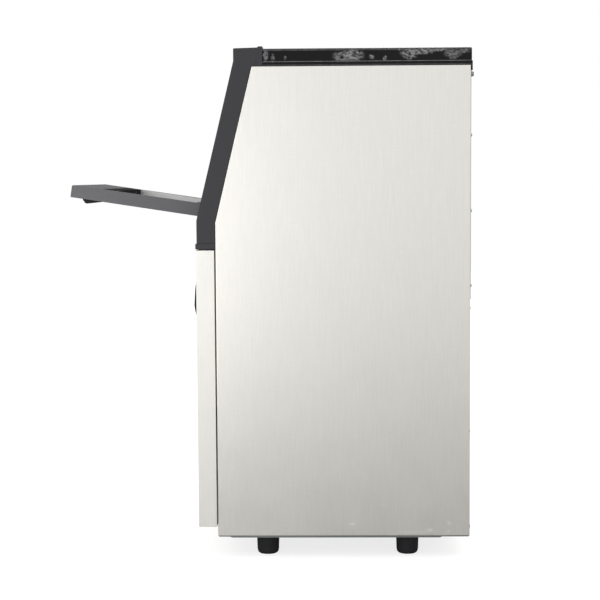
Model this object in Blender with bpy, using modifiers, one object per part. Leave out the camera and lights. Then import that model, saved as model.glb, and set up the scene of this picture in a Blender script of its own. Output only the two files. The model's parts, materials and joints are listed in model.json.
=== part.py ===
"""Undercounter ice machine with its flip-down door open.

Metres, +Z up, the front towards -Y. The machine is modelled from the rear edge
of its side panels (y = 0) and the floor (z = 0), and one empty then centres it.
"""
import math

import bmesh
import bpy
from mathutils import Matrix, Vector

MM = 0.001

# Cabinet
CABINET_WIDTH = 386 * MM
SIDE_DEPTH = 395.8 * MM
PANEL_BOTTOM = 36 * MM
PANEL_TOP = 770 * MM
SHOULDER_HEIGHT = PANEL_TOP - 240 * MM
BROW_DEPTH = SIDE_DEPTH - 58.5 * MM
SHEET = 0.8 * MM
FLANGE = 12 * MM
GAP = 0.3 * MM

# Feet and base
FOOT_HEIGHT = 30.2 * MM
FOOT_RADIUS = 18 * MM
FOOT_INSET = 42 * MM
FOOT_FRONT = SIDE_DEPTH - 77 * MM
FOOT_REAR = 95.9 * MM
BASE_SHEET = 1 * MM
BASE_FRONT = SIDE_DEPTH - 21.8 * MM
BASE_REAR = 46 * MM
BASE_FLARE = 12 * MM
BASE_UPSTAND = 10 * MM

# Front frame, sill and top cover
FRAME_DEPTH = 29 * MM
FRAME_FRONT_TOP = 19.4 * MM
FRAME_TOP = PANEL_TOP + 27.8 * MM
RIDGE_RISE = 2.7 * MM
RIDGE_WIDTH = 6 * MM
COVER_DEPTH = BROW_DEPTH - 17.3 * MM
COVER_TOP = PANEL_TOP + 27 * MM
COVER_WALL = 2.2 * MM
COVER_STEP = 0.6 * MM
COVER_LIP = 6.5 * MM
COVER_OVERHANG = 2 * MM
SKIRT_DROP = 8 * MM
SILL_HEIGHT = 9 * MM
SILL_BOTTOM = SHOULDER_HEIGHT - 41.4 * MM
SILL_PROUD = 2 * MM

# Front panel and controls
FRONT_PANEL_BOTTOM = 50.5 * MM
FRONT_PANEL_REVEAL = 1.9 * MM
FRONT_SEAM = 1.6 * MM
LOUVRE_ROWS = 9
LOUVRE_PITCH = 15 * MM
LOUVRE_WIDTH = CABINET_WIDTH / 2 - 53 * MM
LOUVRE_HEIGHT = 5 * MM
LOUVRE_BOTTOM = 78 * MM
LOUVRE_GAP = 10 * MM
CONTROL_WIDTH = 150 * MM
CONTROL_TOP = SILL_BOTTOM - 36.6 * MM
CONTROL_BOTTOM = CONTROL_TOP - 88 * MM
CONTROL_PROUD = 20.5 * MM
CONTROL_NOSE = CONTROL_TOP - 60 * MM
CONTROL_EDGE = 3 * MM
WINDOW_WIDTH = 62 * MM
WINDOW_HEIGHT = 18 * MM
WINDOW_THICKNESS = 1.6 * MM
BUTTON_COUNT = 4
BUTTON_PITCH = 26 * MM
BUTTON_RADIUS = 5.5 * MM
BUTTON_PROUD = 1.4 * MM
BUTTON_SKIRT = 2.4 * MM
BUTTON_TRAVEL = 1 * MM

# Door
DOOR_WIDTH = CABINET_WIDTH - 49.3 * MM
DOOR_LENGTH = 215.3 * MM
DOOR_TIP_THICKNESS = 19 * MM
DOOR_HEEL_THICKNESS = 20.4 * MM
DOOR_PIVOT_DEPTH = 10.8 * MM
DOOR_PIVOT_HEIGHT = SHOULDER_HEIGHT + 17.9 * MM
DOOR_RISE = math.radians(8.66)
DOOR_SIDE_CLEARANCE = 0.8 * MM
DOOR_HEEL_CLEARANCE = 0.5 * MM
DOOR_TIP_CLEARANCE = 2.5 * MM
DOOR_RECESS_DEPTH = 12 * MM
DOOR_RECESS_HALF = DOOR_WIDTH / 2 - 18.35 * MM
DOOR_RECESS_HEEL = 20 * MM
DOOR_RECESS_TIP = 66 * MM
LINER_SHEET = 1 * MM
STRIP_NEAR = 63 * MM
STRIP_FAR = 46 * MM
STRIP_THICKNESS = 2 * MM
GRIP_WIDTH = 140 * MM
GRIP_START = 3 * MM
GRIP_CREST = 10 * MM
GRIP_END = 42 * MM
GRIP_HEIGHT = 10 * MM
GRIP_LIP = 2.4 * MM
PIN_RADIUS = 4 * MM
PIN_DEPTH = 13.5 * MM
MOUTH_HALF = CABINET_WIDTH / 2 - 41 * MM
MOUTH_LOW = 8 * MM
MOUTH_HIGH = 200 * MM

# Insulation and bin
COMPARTMENT_TOP = 240 * MM
LINER_HALF = CABINET_WIDTH / 2 - 33 * MM
LINER_WALL = 2 * MM
LINER_FLOOR_FRONT = COMPARTMENT_TOP + 22 * MM
LINER_FALL = 6 * MM
LINER_REAR = 24 * MM
LINER_FRONT = 4.8 * MM
LINER_TOP = PANEL_TOP - 14 * MM
FOAM_SIDE = 1 * MM
FOAM_TOP = 2 * MM
SENSOR_DEPTH = SIDE_DEPTH - 141.8 * MM
SENSOR_TOP = SILL_BOTTOM + 16.4 * MM
SENSOR_TALL = 65 * MM
SENSOR_HALF = 8 * MM
SENSOR_PROUD = 9 * MM

# Ice maker
BOARD_THICKNESS = 3.7 * MM
CHEEK_THICKNESS = 4 * MM
CHEEK_INNER = LINER_HALF - 26 * MM
CHEEK_DEPTH = 124 * MM
CHEEK_TOP = LINER_TOP - 6 * MM
CHEEK_BOTTOM = CHEEK_TOP - 238 * MM
CELL_COLUMNS = 9
CELL_ROWS = 5
CELL_PITCH = 2 * (CHEEK_INNER - 26 * MM) / CELL_COLUMNS
CELL_WALL = 1.6 * MM
CELL_DEPTH = 22 * MM
PLATE_THICKNESS = 1.5 * MM
PLATE_FRONT = 62 * MM
PLATE_BOTTOM = CHEEK_TOP - 146 * MM
ROW_PITCH = (CHEEK_TOP - 26 * MM - PLATE_BOTTOM) / CELL_ROWS
CELL_SLOPE = 0.17
COIL_RADIUS = 4 * MM
COIL_RUNS = 6
COIL_PITCH = 20 * MM
SPRAY_RADIUS = 8 * MM
SPRAY_BORE = 6 * MM
SPRAY_HEIGHT = 14 * MM
SPRAY_HOLE = 1.6 * MM
TROUGH_BOTTOM = CHEEK_BOTTOM + 8 * MM
TROUGH_HEIGHT = 58 * MM
TROUGH_WALL = 2.5 * MM
TROUGH_DEPTH = 106 * MM
TROUGH_REAR = 5 * MM
CURTAIN_PIVOT = 104 * MM
CURTAIN_HEIGHT = CHEEK_TOP - 9 * MM
CURTAIN_LENGTH = 150 * MM
CURTAIN_THICKNESS = 2.4 * MM
CURTAIN_BARREL = 5 * MM
CURTAIN_PIN = 2.6 * MM
CURTAIN_SIDE = 1.5 * MM
PUMP_RADIUS = 17 * MM
PUMP_X = CHEEK_INNER - 34 * MM
HOSE_RADIUS = 4.5 * MM
FLOAT_X = 30 * MM - CHEEK_INNER
FLOAT_RADIUS = 13 * MM
FLOAT_HEIGHT = 16 * MM
FLOAT_STEM = 3 * MM

# Machine compartment
COMPRESSOR_X = (CABINET_WIDTH - 86 * MM) / 4
COMPRESSOR_Y = -135 * MM
COMPRESSOR_RADIUS = (CABINET_WIDTH - 142 * MM) / 4
COMPRESSOR_HEIGHT = 165 * MM
GROMMET_HEIGHT = 11 * MM
GROMMET_RADIUS = 9 * MM
MOUNT_SPAN_X = 110 * MM
MOUNT_SPAN_Y = 90 * MM
MOUNT_PLATE = 3 * MM
CONDENSER_X = 101 * MM - CABINET_WIDTH / 2
CONDENSER_WIDTH = CABINET_WIDTH / 2 - 47 * MM
CONDENSER_HEIGHT = 180 * MM
CONDENSER_DEPTH = 34 * MM
CONDENSER_FRONT = SIDE_DEPTH - 24.8 * MM
FIN_COUNT = 20
FIN_GROOVE = 12 * MM
BEND_RADIUS = 4 * MM
BEND_ROWS = 4
SHROUD_DEPTH = 20 * MM
FAN_RADIUS = CONDENSER_WIDTH / 2 - 7 * MM
FAN_CLEARANCE = 4 * MM
FAN_HUB = 19 * MM
FAN_DEPTH = 16 * MM
FAN_BLADES = 5
FAN_PITCH = math.radians(32)
SHAFT_RADIUS = 3 * MM
MOTOR_RADIUS = 27 * MM
MOTOR_LENGTH = 42 * MM
DRIER_RADIUS = 11 * MM
DRIER_LENGTH = 90 * MM
DRIER_RISE = 45 * MM
DRIER_SPACING = 34 * MM
DRIER_TAPER = 8 * MM
PIPE_RADIUS = 4 * MM
BOX_X = CABINET_WIDTH / 2 - 93 * MM
BOX_WIDTH = CABINET_WIDTH / 2 - 63 * MM
BOX_HEIGHT = 165 * MM
BOX_DEPTH = 48 * MM

# Rear panels and service recess
REAR_SPLIT = PANEL_TOP - 361 * MM
REAR_PROUD = 1.1 * MM
REAR_LAP = 6 * MM
REAR_SLOT_TOP = 4 * MM
REAR_LEFT_ROWS = 4
RECESS_X = 83 * MM - CABINET_WIDTH / 2
RECESS_WIDTH = 110 * MM
RECESS_BOTTOM = 58 * MM
RECESS_HEIGHT = 120 * MM
RECESS_DEPTH = 26 * MM
INLET_RADIUS = 13 * MM
INLET_HEIGHT = 82 * MM
DRAIN_RADIUS = 9 * MM
DRAIN_X = RECESS_X - 25 * MM
GLAND_RADIUS = 9 * MM
SCREW_INSET = 15 * MM
COVER_SCREW_RADIUS = 4.5 * MM
COVER_SCREW_REACH = 5.8 * MM
COVER_SCREW_Z = PANEL_TOP - 13 * MM

# Worked out from the sizes above
HALF_WIDTH = CABINET_WIDTH / 2
INNER_HALF = HALF_WIDTH - FLANGE
LEAN = math.atan2(SIDE_DEPTH - BROW_DEPTH, PANEL_TOP - SHOULDER_HEIGHT)
SILL_TOP = SILL_BOTTOM + SILL_HEIGHT
FRAME_FRONT = -SIDE_DEPTH - FRAME_DEPTH
PANEL_FACE = FRAME_FRONT - FRONT_SEAM + GAP
FRONT_PANEL_TOP = SILL_BOTTOM - FRONT_SEAM
BASE_FLOOR = FOOT_HEIGHT + GAP + BASE_SHEET
RIM_TOP = PANEL_BOTTOM - GAP
HEEL_RADIUS = DOOR_HEEL_THICKNESS / 2
DOOR_HALF = DOOR_WIDTH / 2


def slant_y(height, outward=0.0):
    """Y of the leaning front edge at a height, moved outward square to it."""
    return -SIDE_DEPTH + math.tan(LEAN) * (height - SHOULDER_HEIGHT) - outward / math.cos(LEAN)


PIVOT_Y = slant_y(DOOR_PIVOT_HEIGHT, FRAME_DEPTH - DOOR_PIVOT_DEPTH)
DOOR_TURN = math.pi / 2 - DOOR_RISE
DOOR_REACH = DOOR_LENGTH * math.sin(DOOR_TURN) + DOOR_TIP_THICKNESS / 2 * math.cos(DOOR_TURN)
CENTRE_SHIFT = -(PIVOT_Y - DOOR_REACH + COVER_SCREW_REACH) / 2


def clear_scene():
    """Remove what the new file holds."""
    for obj in list(bpy.data.objects):
        bpy.data.objects.remove(obj, do_unlink=True)


def new_collection(name):
    collection = bpy.data.collections.new(name)
    bpy.context.scene.collection.children.link(collection)
    return collection


def finish(name, hex_colour, roughness, metallic=0.0):
    """One Principled material from a screen colour."""
    red, green, blue = (int(hex_colour[i:i + 2], 16) / 255 for i in (0, 2, 4))
    linear = [((c + 0.055) / 1.055) ** 2.4 if c > 0.04045 else c / 12.92 for c in (red, green, blue)]
    made = bpy.data.materials.new(name)
    made.use_nodes = True
    shader = made.node_tree.nodes["Principled BSDF"]
    shader.inputs["Base Color"].default_value = (*linear, 1.0)
    shader.inputs["Roughness"].default_value = roughness
    shader.inputs["Metallic"].default_value = metallic
    return made


STEEL = ("E9E8E3", 0.35, 1.0)
DARK_PLASTIC = ("4B4B4F", 0.5, 0.0)
BLACK_GLOSS = ("18181A", 0.15, 0.0)
BLACK_RUBBER = ("262629", 0.7, 0.0)
WHITE_PLASTIC = ("ECEDEA", 0.4, 0.0)
FOAM = ("E3D9B4", 0.9, 0.0)
NICKEL = ("C9C8C2", 0.3, 1.0)
COPPER = ("B87046", 0.35, 1.0)
BLACK_ENAMEL = ("1C1C1E", 0.35, 0.0)
ALUMINIUM = ("B9BBBD", 0.4, 1.0)
GALVANISED = ("8E9193", 0.5, 1.0)
CLEAR_TUBE = ("DCE3E4", 0.25, 0.0)


def link(name, data, parent, look=None):
    """A new object under a parent, in the parts or, with no look, the cutters."""
    obj = bpy.data.objects.new(name, data)
    obj.parent = parent
    if look is None:
        CUTTERS.objects.link(obj)
        obj.hide_render = True
        obj.display_type = "WIRE"
    else:
        PARTS.objects.link(obj)
        obj.data.materials.append(finish(name, *look))
    return obj


def axis_empty(name, parent, location, turn=0.0):
    """An empty at a place, turned about X."""
    empty = bpy.data.objects.new(name, None)
    PARTS.objects.link(empty)
    empty.parent = parent
    empty.location = location
    empty.rotation_euler = (turn, 0.0, 0.0)
    return empty


def mesh_from(shape, name):
    bmesh.ops.recalc_face_normals(shape, faces=shape.faces)
    mesh = bpy.data.meshes.new(name)
    shape.to_mesh(mesh)
    shape.free()
    return mesh


def add_cube(shape, x, y, z):
    """A box between two values along each axis."""
    size = Matrix.Diagonal((x[1] - x[0], y[1] - y[0], z[1] - z[0], 1.0))
    centre = Matrix.Translation(((x[0] + x[1]) / 2, (y[0] + y[1]) / 2, (z[0] + z[1]) / 2))
    return bmesh.ops.create_cube(shape, size=1.0, matrix=centre @ size)["verts"]


def block(name, x, y, z, parent, look=None, bevel=0.0, segments=2):
    """A box whose edges may be rounded."""
    shape = bmesh.new()
    add_cube(shape, x, y, z)
    obj = link(name, mesh_from(shape, name), parent, look)
    if bevel:
        soften(obj, bevel, segments)
    return obj


def blocks(name, spans, parent, look=None):
    """Several separate boxes in one mesh."""
    shape = bmesh.new()
    for x, y, z in spans:
        add_cube(shape, x, y, z)
    return link(name, mesh_from(shape, name), parent, look)


def soften(obj, width, segments=2):
    bevel = obj.modifiers.new("rounded_edges", "BEVEL")
    bevel.width = width
    bevel.segments = segments
    bevel.limit_method = "ANGLE"
    bevel.angle_limit = math.radians(40)


AXIS_TURN = {
    "X": Matrix.Rotation(math.pi / 2, 4, "Y"),
    "Y": Matrix.Rotation(-math.pi / 2, 4, "X"),
    "Z": Matrix.Identity(4),
}


def drum(name, radius, start, length, axis, parent, look=None, sides=24, end_radius=None):
    """A cylinder or cone from its start along an axis."""
    shape = bmesh.new()
    far_radius = radius if end_radius is None else end_radius
    base = Matrix.Translation(start) @ AXIS_TURN[axis] @ Matrix.Translation((0, 0, length / 2))
    bmesh.ops.create_cone(
        shape, cap_ends=True, segments=sides, radius1=radius, radius2=far_radius,
        depth=length, matrix=base)
    obj = link(name, mesh_from(shape, name), parent, look)
    smooth(obj)
    return obj


def smooth(obj, angle=35):
    obj.data.shade_smooth()
    obj.data.set_sharp_from_angle(angle=math.radians(angle))


def turned(name, profile, place, axis, parent, look=None, steps=24):
    """A profile of (radius, height), top to bottom outside, turned about Z."""
    mesh = bpy.data.meshes.new(name)
    points = [(radius, 0.0, height) for radius, height in profile]
    mesh.from_pydata(points, [(i, i + 1) for i in range(len(points) - 1)], [])
    obj = link(name, mesh, parent, look)
    screw = obj.modifiers.new("turn", "SCREW")
    screw.steps = steps
    screw.render_steps = steps
    screw.use_merge_vertices = True
    screw.merge_threshold = 0.00005
    screw.use_smooth_shade = True
    obj.matrix_local = Matrix.Translation(place) @ AXIS_TURN[axis]
    return obj


def extruded(name, outline, x, parent, look=None):
    """A (y, z) outline drawn as a flat curve and extruded between two X values."""
    curve = bpy.data.curves.new(name, "CURVE")
    curve.dimensions = "2D"
    curve.fill_mode = "BOTH"
    curve.extrude = abs(x[1] - x[0]) / 2
    spline = curve.splines.new("POLY")
    spline.points.add(len(outline) - 1)
    for point, (y, z) in zip(spline.points, outline):
        point.co = (y, z, 0.0, 1.0)
    spline.use_cyclic_u = True
    flat = bpy.data.objects.new(name, curve)
    PARTS.objects.link(flat)
    mesh = solid_mesh(flat, name)
    turn = Matrix(((0, 0, 1, (x[0] + x[1]) / 2), (1, 0, 0, 0), (0, 1, 0, 0), (0, 0, 0, 1)))
    mesh.transform(turn)
    return link(name, mesh, parent, look)


def solid_mesh(curve_object, name):
    """The closed mesh of a curve object, which is then removed."""
    graph = bpy.context.evaluated_depsgraph_get()
    raw = bpy.data.meshes.new_from_object(curve_object.evaluated_get(graph))
    shape = bmesh.new()
    shape.from_mesh(raw)
    bmesh.ops.remove_doubles(shape, verts=shape.verts, dist=0.00001)
    mesh = mesh_from(shape, name)
    bpy.data.objects.remove(curve_object, do_unlink=True)
    bpy.data.meshes.remove(raw)
    return mesh


def rounded_route(points, radius, steps=4):
    """A route whose corners are replaced with short arcs."""
    route = [Vector(points[0])]
    for before, corner, after in zip(points, points[1:], points[2:]):
        corner = Vector(corner)
        back = (Vector(before) - corner)
        ahead = (Vector(after) - corner)
        reach = min(radius, back.length * 0.45, ahead.length * 0.45)
        start = corner + back.normalized() * reach
        end = corner + ahead.normalized() * reach
        for step in range(steps + 1):
            share = step / steps
            route.append(start.lerp(corner, share).lerp(corner.lerp(end, share), share))
    route.append(Vector(points[-1]))
    return route


def pipe(name, route, radius, parent, look, resolution=2):
    """A round tube along a route."""
    curve = bpy.data.curves.new(name, "CURVE")
    curve.dimensions = "3D"
    curve.bevel_depth = radius
    curve.bevel_resolution = resolution
    curve.use_fill_caps = True
    spline = curve.splines.new("POLY")
    spline.points.add(len(route) - 1)
    for point, place in zip(spline.points, route):
        point.co = (*place, 1.0)
    return link(name, curve, parent, look)


def pipe_mesh(name, route, radius, parent, look=None, resolution=2):
    """The same tube as a mesh that can be cut or joined."""
    tube = pipe(name, route, radius, None, BLACK_RUBBER, resolution)
    mesh = solid_mesh(tube, name)
    mesh.materials.clear()
    return link(name, mesh, parent, look)


def cut(target, cutter):
    boolean = target.modifiers.new("cut_" + cutter.name, "BOOLEAN")
    boolean.operation = "DIFFERENCE"
    boolean.solver = "EXACT"
    boolean.object = cutter


def fuse(target, addition):
    boolean = target.modifiers.new("join_" + addition.name, "BOOLEAN")
    boolean.operation = "UNION"
    boolean.solver = "EXACT"
    boolean.object = addition


def walled(obj, thickness):
    """Give an open surface a wall on its inner side."""
    solidify = obj.modifiers.new("wall", "SOLIDIFY")
    solidify.thickness = thickness
    solidify.offset = -1.0
    solidify.use_even_offset = True
    solidify.use_quality_normals = True


def open_box(name, x, y, z, wall, opening, parent, look, rounding=0.0):
    """A box shell without the face that points along the opening direction."""
    shape = bmesh.new()
    add_cube(shape, x, y, z)
    shape.normal_update()
    gone = [face for face in shape.faces if face.normal.dot(Vector(opening)) > 0.9]
    bmesh.ops.delete(shape, geom=gone, context="FACES")
    obj = link(name, mesh_from(shape, name), parent, look)
    if rounding:
        soften(obj, rounding)
    walled(obj, wall)
    return obj


def open_prism(name, outline, x, wall, parent, look, is_open):
    """A shell from a (y, z) outline without the faces that is_open picks."""
    shape = bmesh.new()
    ring = [shape.verts.new((x[0], y, z)) for y, z in outline]
    face = shape.faces.new(ring)
    swept = bmesh.ops.extrude_face_region(shape, geom=[face])["geom"]
    moved = [item for item in swept if isinstance(item, bmesh.types.BMVert)]
    bmesh.ops.translate(shape, verts=moved, vec=(x[1] - x[0], 0, 0))
    bmesh.ops.recalc_face_normals(shape, faces=shape.faces)
    gone = [item for item in shape.faces if is_open(item.calc_center_median(), item.normal)]
    bmesh.ops.delete(shape, geom=gone, context="FACES")
    obj = link(name, mesh_from(shape, name), parent, look)
    walled(obj, wall)
    return obj


def side_outline():
    return [
        (-SIDE_DEPTH, PANEL_BOTTOM), (0.0, PANEL_BOTTOM), (0.0, PANEL_TOP),
        (-BROW_DEPTH, PANEL_TOP), (-SIDE_DEPTH, SHOULDER_HEIGHT)]


def build_side_panels(root):
    """Two folded sheets with their flanges turned in all round."""
    for side, word in ((1, "right"), (-1, "left")):
        outer = side * HALF_WIDTH
        inner = side * INNER_HALF
        open_prism(
            "side_panel_" + word, side_outline(), (outer, inner), SHEET, root, STEEL,
            lambda centre, normal: abs(centre.x - inner) < 0.0001)


def build_base(root):
    """A pressed tray on four turned feet."""
    shape = bmesh.new()
    low = FOOT_HEIGHT + GAP
    verts = add_cube(
        shape, (-HALF_WIDTH + BASE_FLARE, HALF_WIDTH - BASE_FLARE),
        (-BASE_FRONT, -BASE_REAR), (low, RIM_TOP - BASE_SHEET))
    for vert in verts:
        if vert.co.z > low + MM:
            vert.co.y += math.copysign(BASE_FLARE, vert.co.y + SIDE_DEPTH / 2)
    shape.normal_update()
    top = [face for face in shape.faces if face.normal.z > 0.9]
    bmesh.ops.delete(shape, geom=top, context="FACES")
    rim = [edge for edge in shape.edges if edge.is_boundary]
    lip = bmesh.ops.extrude_edge_only(shape, edges=rim)["geom"]
    for item in lip:
        if isinstance(item, bmesh.types.BMVert):
            item.co.x = math.copysign(HALF_WIDTH - MM, item.co.x)
            item.co.y = -SHEET - GAP if item.co.y > -SIDE_DEPTH / 2 else -SIDE_DEPTH + SHEET + GAP
    bmesh.ops.recalc_face_normals(shape, faces=shape.faces)
    bottom = min(shape.faces, key=lambda face: face.calc_center_median().z)
    if bottom.normal.z > 0:
        bmesh.ops.reverse_faces(shape, faces=shape.faces)
    mesh = bpy.data.meshes.new("base_pan")
    shape.to_mesh(mesh)
    shape.free()
    pan = link("base_pan", mesh, root, GALVANISED)
    walled(pan, BASE_SHEET)
    half = INNER_HALF - MM
    edge = -SIDE_DEPTH + SHEET + 2 * GAP
    fuse(pan, block(
        "front_upstand", (-half, half), (edge, edge + BASE_SHEET),
        (RIM_TOP - BASE_SHEET / 2, FRONT_PANEL_BOTTOM + BASE_UPSTAND), root))
    profile = [
        (0.0, FOOT_HEIGHT), (FOOT_RADIUS - MM, FOOT_HEIGHT), (FOOT_RADIUS, FOOT_HEIGHT - MM),
        (FOOT_RADIUS * 0.96, 6 * MM), (FOOT_RADIUS * 0.9, 2 * MM), (FOOT_RADIUS * 0.78, 0.0),
        (0.0, 0.0)]
    for side, word in ((1, "right"), (-1, "left")):
        for depth, end in ((FOOT_FRONT, "front"), (FOOT_REAR, "rear")):
            place = (side * (HALF_WIDTH - FOOT_INSET), -depth, 0.0)
            turned("foot_" + end + "_" + word, profile, place, "Z", root, BLACK_RUBBER)


def frame_outline():
    """Side view of the moulded front frame, clockwise from its lower front."""
    brow_height = FRAME_TOP - FRAME_FRONT_TOP
    brow_y = slant_y(brow_height, FRAME_DEPTH)
    knee = SHOULDER_HEIGHT + FRAME_DEPTH * math.tan(LEAN / 2)
    rear = -COVER_DEPTH - GAP
    crest = FRAME_TOP + RIDGE_RISE
    bottom = SILL_TOP + GAP
    return [
        (FRAME_FRONT, bottom), (FRAME_FRONT, knee), (brow_y, brow_height),
        (brow_y, FRAME_TOP - MM), (brow_y + MM, FRAME_TOP), (rear - RIDGE_WIDTH - 2 * MM, FRAME_TOP + MM),
        (rear - RIDGE_WIDTH, crest), (rear, crest), (rear, PANEL_TOP + GAP),
        (slant_y(PANEL_TOP + GAP, GAP), PANEL_TOP + GAP), (-SIDE_DEPTH - GAP, SHOULDER_HEIGHT),
        (-SIDE_DEPTH - GAP, bottom)]


def door_point(along, outward):
    """(y, z) of a point of the closed door, from the pivot."""
    return (
        PIVOT_Y + along * math.sin(LEAN) - outward * math.cos(LEAN),
        DOOR_PIVOT_HEIGHT + along * math.cos(LEAN) + outward * math.sin(LEAN))


def build_front_frame(root):
    """The dark moulding round the mouth, with the pocket that takes the door."""
    frame = extruded("front_frame", frame_outline(), (-HALF_WIDTH, HALF_WIDTH), root, DARK_PLASTIC)
    floor = DOOR_PIVOT_HEIGHT - HEEL_RADIUS - DOOR_HEEL_CLEARANCE
    lip = -(HEEL_RADIUS + DOOR_HEEL_CLEARANCE)
    top = DOOR_LENGTH + DOOR_TIP_CLEARANCE
    ahead = 3 * FRAME_DEPTH
    drop = (DOOR_PIVOT_HEIGHT - floor + lip * math.sin(LEAN)) / math.cos(LEAN)
    pocket = [
        door_point(-drop, lip), door_point(top, lip), door_point(top, ahead),
        (door_point(0.0, ahead)[0], floor)]
    half = DOOR_HALF + DOOR_SIDE_CLEARANCE
    cut(frame, extruded("door_pocket_cut", pocket, (-half, half), root))
    mouth = [
        door_point(MOUTH_LOW, -ahead), door_point(MOUTH_LOW, ahead),
        door_point(MOUTH_HIGH, ahead), door_point(MOUTH_HIGH, -ahead)]
    cut(frame, extruded("mouth_cut", mouth, (-MOUTH_HALF, MOUTH_HALF), root))
    reach = half + PIN_DEPTH + GAP
    start = (-reach, PIVOT_Y, DOOR_PIVOT_HEIGHT)
    cut(frame, drum("hinge_bore_cut", PIN_RADIUS + GAP, start, 2 * reach, "X", root, sides=20))
    for side, word in ((1, "right"), (-1, "left")):
        inner = side * (DOOR_HALF - PIN_DEPTH)
        start = (min(inner, side * (half + PIN_DEPTH)), PIVOT_Y, DOOR_PIVOT_HEIGHT)
        length = 2 * PIN_DEPTH + DOOR_SIDE_CLEARANCE
        drum("hinge_pin_" + word, PIN_RADIUS, start, length, "X", root, ALUMINIUM, sides=20)


def build_sill_and_front(root):
    """The sill trim and the folded lower front with its louvres."""
    edge = FRAME_FRONT - SILL_PROUD
    inner = edge + 6 * MM
    ledge = SILL_TOP - 3 * MM
    sill = [
        (edge, SILL_BOTTOM + MM), (edge + MM, SILL_BOTTOM), (inner, SILL_BOTTOM), (inner, ledge),
        (-SIDE_DEPTH - GAP, ledge), (-SIDE_DEPTH - GAP, SILL_TOP), (edge + MM, SILL_TOP),
        (edge, SILL_TOP - MM)]
    extruded("sill_trim", sill, (-HALF_WIDTH, HALF_WIDTH), root, DARK_PLASTIC)
    panel = open_box(
        "front_panel", (-HALF_WIDTH + GAP, HALF_WIDTH - GAP),
        (PANEL_FACE, -SIDE_DEPTH - FRONT_PANEL_REVEAL), (FRONT_PANEL_BOTTOM, FRONT_PANEL_TOP),
        SHEET, (0, 1, 0), root, STEEL)
    slots = []
    for column in (-1, 1):
        centre = column * (LOUVRE_WIDTH / 2 + LOUVRE_GAP)
        for row in range(LOUVRE_ROWS):
            low = LOUVRE_BOTTOM + row * LOUVRE_PITCH
            slots.append((
                (centre - LOUVRE_WIDTH / 2, centre + LOUVRE_WIDTH / 2),
                (PANEL_FACE - 5 * MM, PANEL_FACE + 5 * MM), (low, low + LOUVRE_HEIGHT)))
    cut(panel, blocks("louvre_cut", slots, root))


def control_outline():
    back = PANEL_FACE - GAP
    return [
        (back, CONTROL_BOTTOM), (back - CONTROL_PROUD * 0.8, CONTROL_BOTTOM + 3 * MM),
        (back - CONTROL_PROUD * 0.96, CONTROL_BOTTOM + 9 * MM),
        (back - CONTROL_PROUD, CONTROL_NOSE - 10 * MM),
        (back - CONTROL_PROUD, CONTROL_NOSE), (back - CONTROL_EDGE, CONTROL_TOP),
        (back, CONTROL_TOP)]


def build_controls(root):
    """A wedge housing whose tilted face carries a window and push buttons."""
    housing = extruded(
        "control_housing", control_outline(), (-CONTROL_WIDTH / 2, CONTROL_WIDTH / 2), root, BLACK_GLOSS)
    soften(housing, 1.5 * MM)
    rise = CONTROL_TOP - CONTROL_NOSE
    run = CONTROL_PROUD - CONTROL_EDGE
    middle = (
        0.0, PANEL_FACE - GAP - (CONTROL_PROUD + CONTROL_EDGE) / 2, (CONTROL_TOP + CONTROL_NOSE) / 2)
    face = axis_empty("control_face", root, middle, math.atan2(rise, run))
    length = math.hypot(rise, run)
    window_y = length / 2 - 10 * MM - WINDOW_HEIGHT / 2
    button_y = window_y - WINDOW_HEIGHT / 2 - 10 * MM - BUTTON_RADIUS
    half = WINDOW_WIDTH / 2
    pocket = block(
        "window_cut", (-half - GAP, half + GAP),
        (window_y - WINDOW_HEIGHT / 2 - GAP, window_y + WINDOW_HEIGHT / 2 + GAP),
        (-WINDOW_THICKNESS - GAP, 10 * MM), face)
    cut(housing, pocket)
    block(
        "display_window", (-half, half),
        (window_y - WINDOW_HEIGHT / 2, window_y + WINDOW_HEIGHT / 2),
        (-WINDOW_THICKNESS, 0.0), face, BLACK_GLOSS)
    for index in range(BUTTON_COUNT):
        x = (index - (BUTTON_COUNT - 1) / 2) * BUTTON_PITCH
        well = BUTTON_SKIRT + BUTTON_TRAVEL + GAP
        cut(housing, drum(
            "button_cut_%d" % (index + 1), BUTTON_RADIUS + GAP, (x, button_y, -well), well + 10 * MM,
            "Z", face, sides=20))
        profile = [
            (0.0, BUTTON_PROUD), (BUTTON_RADIUS - MM, BUTTON_PROUD), (BUTTON_RADIUS, BUTTON_PROUD - 0.6 * MM),
            (BUTTON_RADIUS, -BUTTON_SKIRT), (0.0, -BUTTON_SKIRT)]
        turned(
            "button_%d" % (index + 1), profile, (x, button_y, 0.0), "Z", face, DARK_PLASTIC, steps=20)


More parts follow.
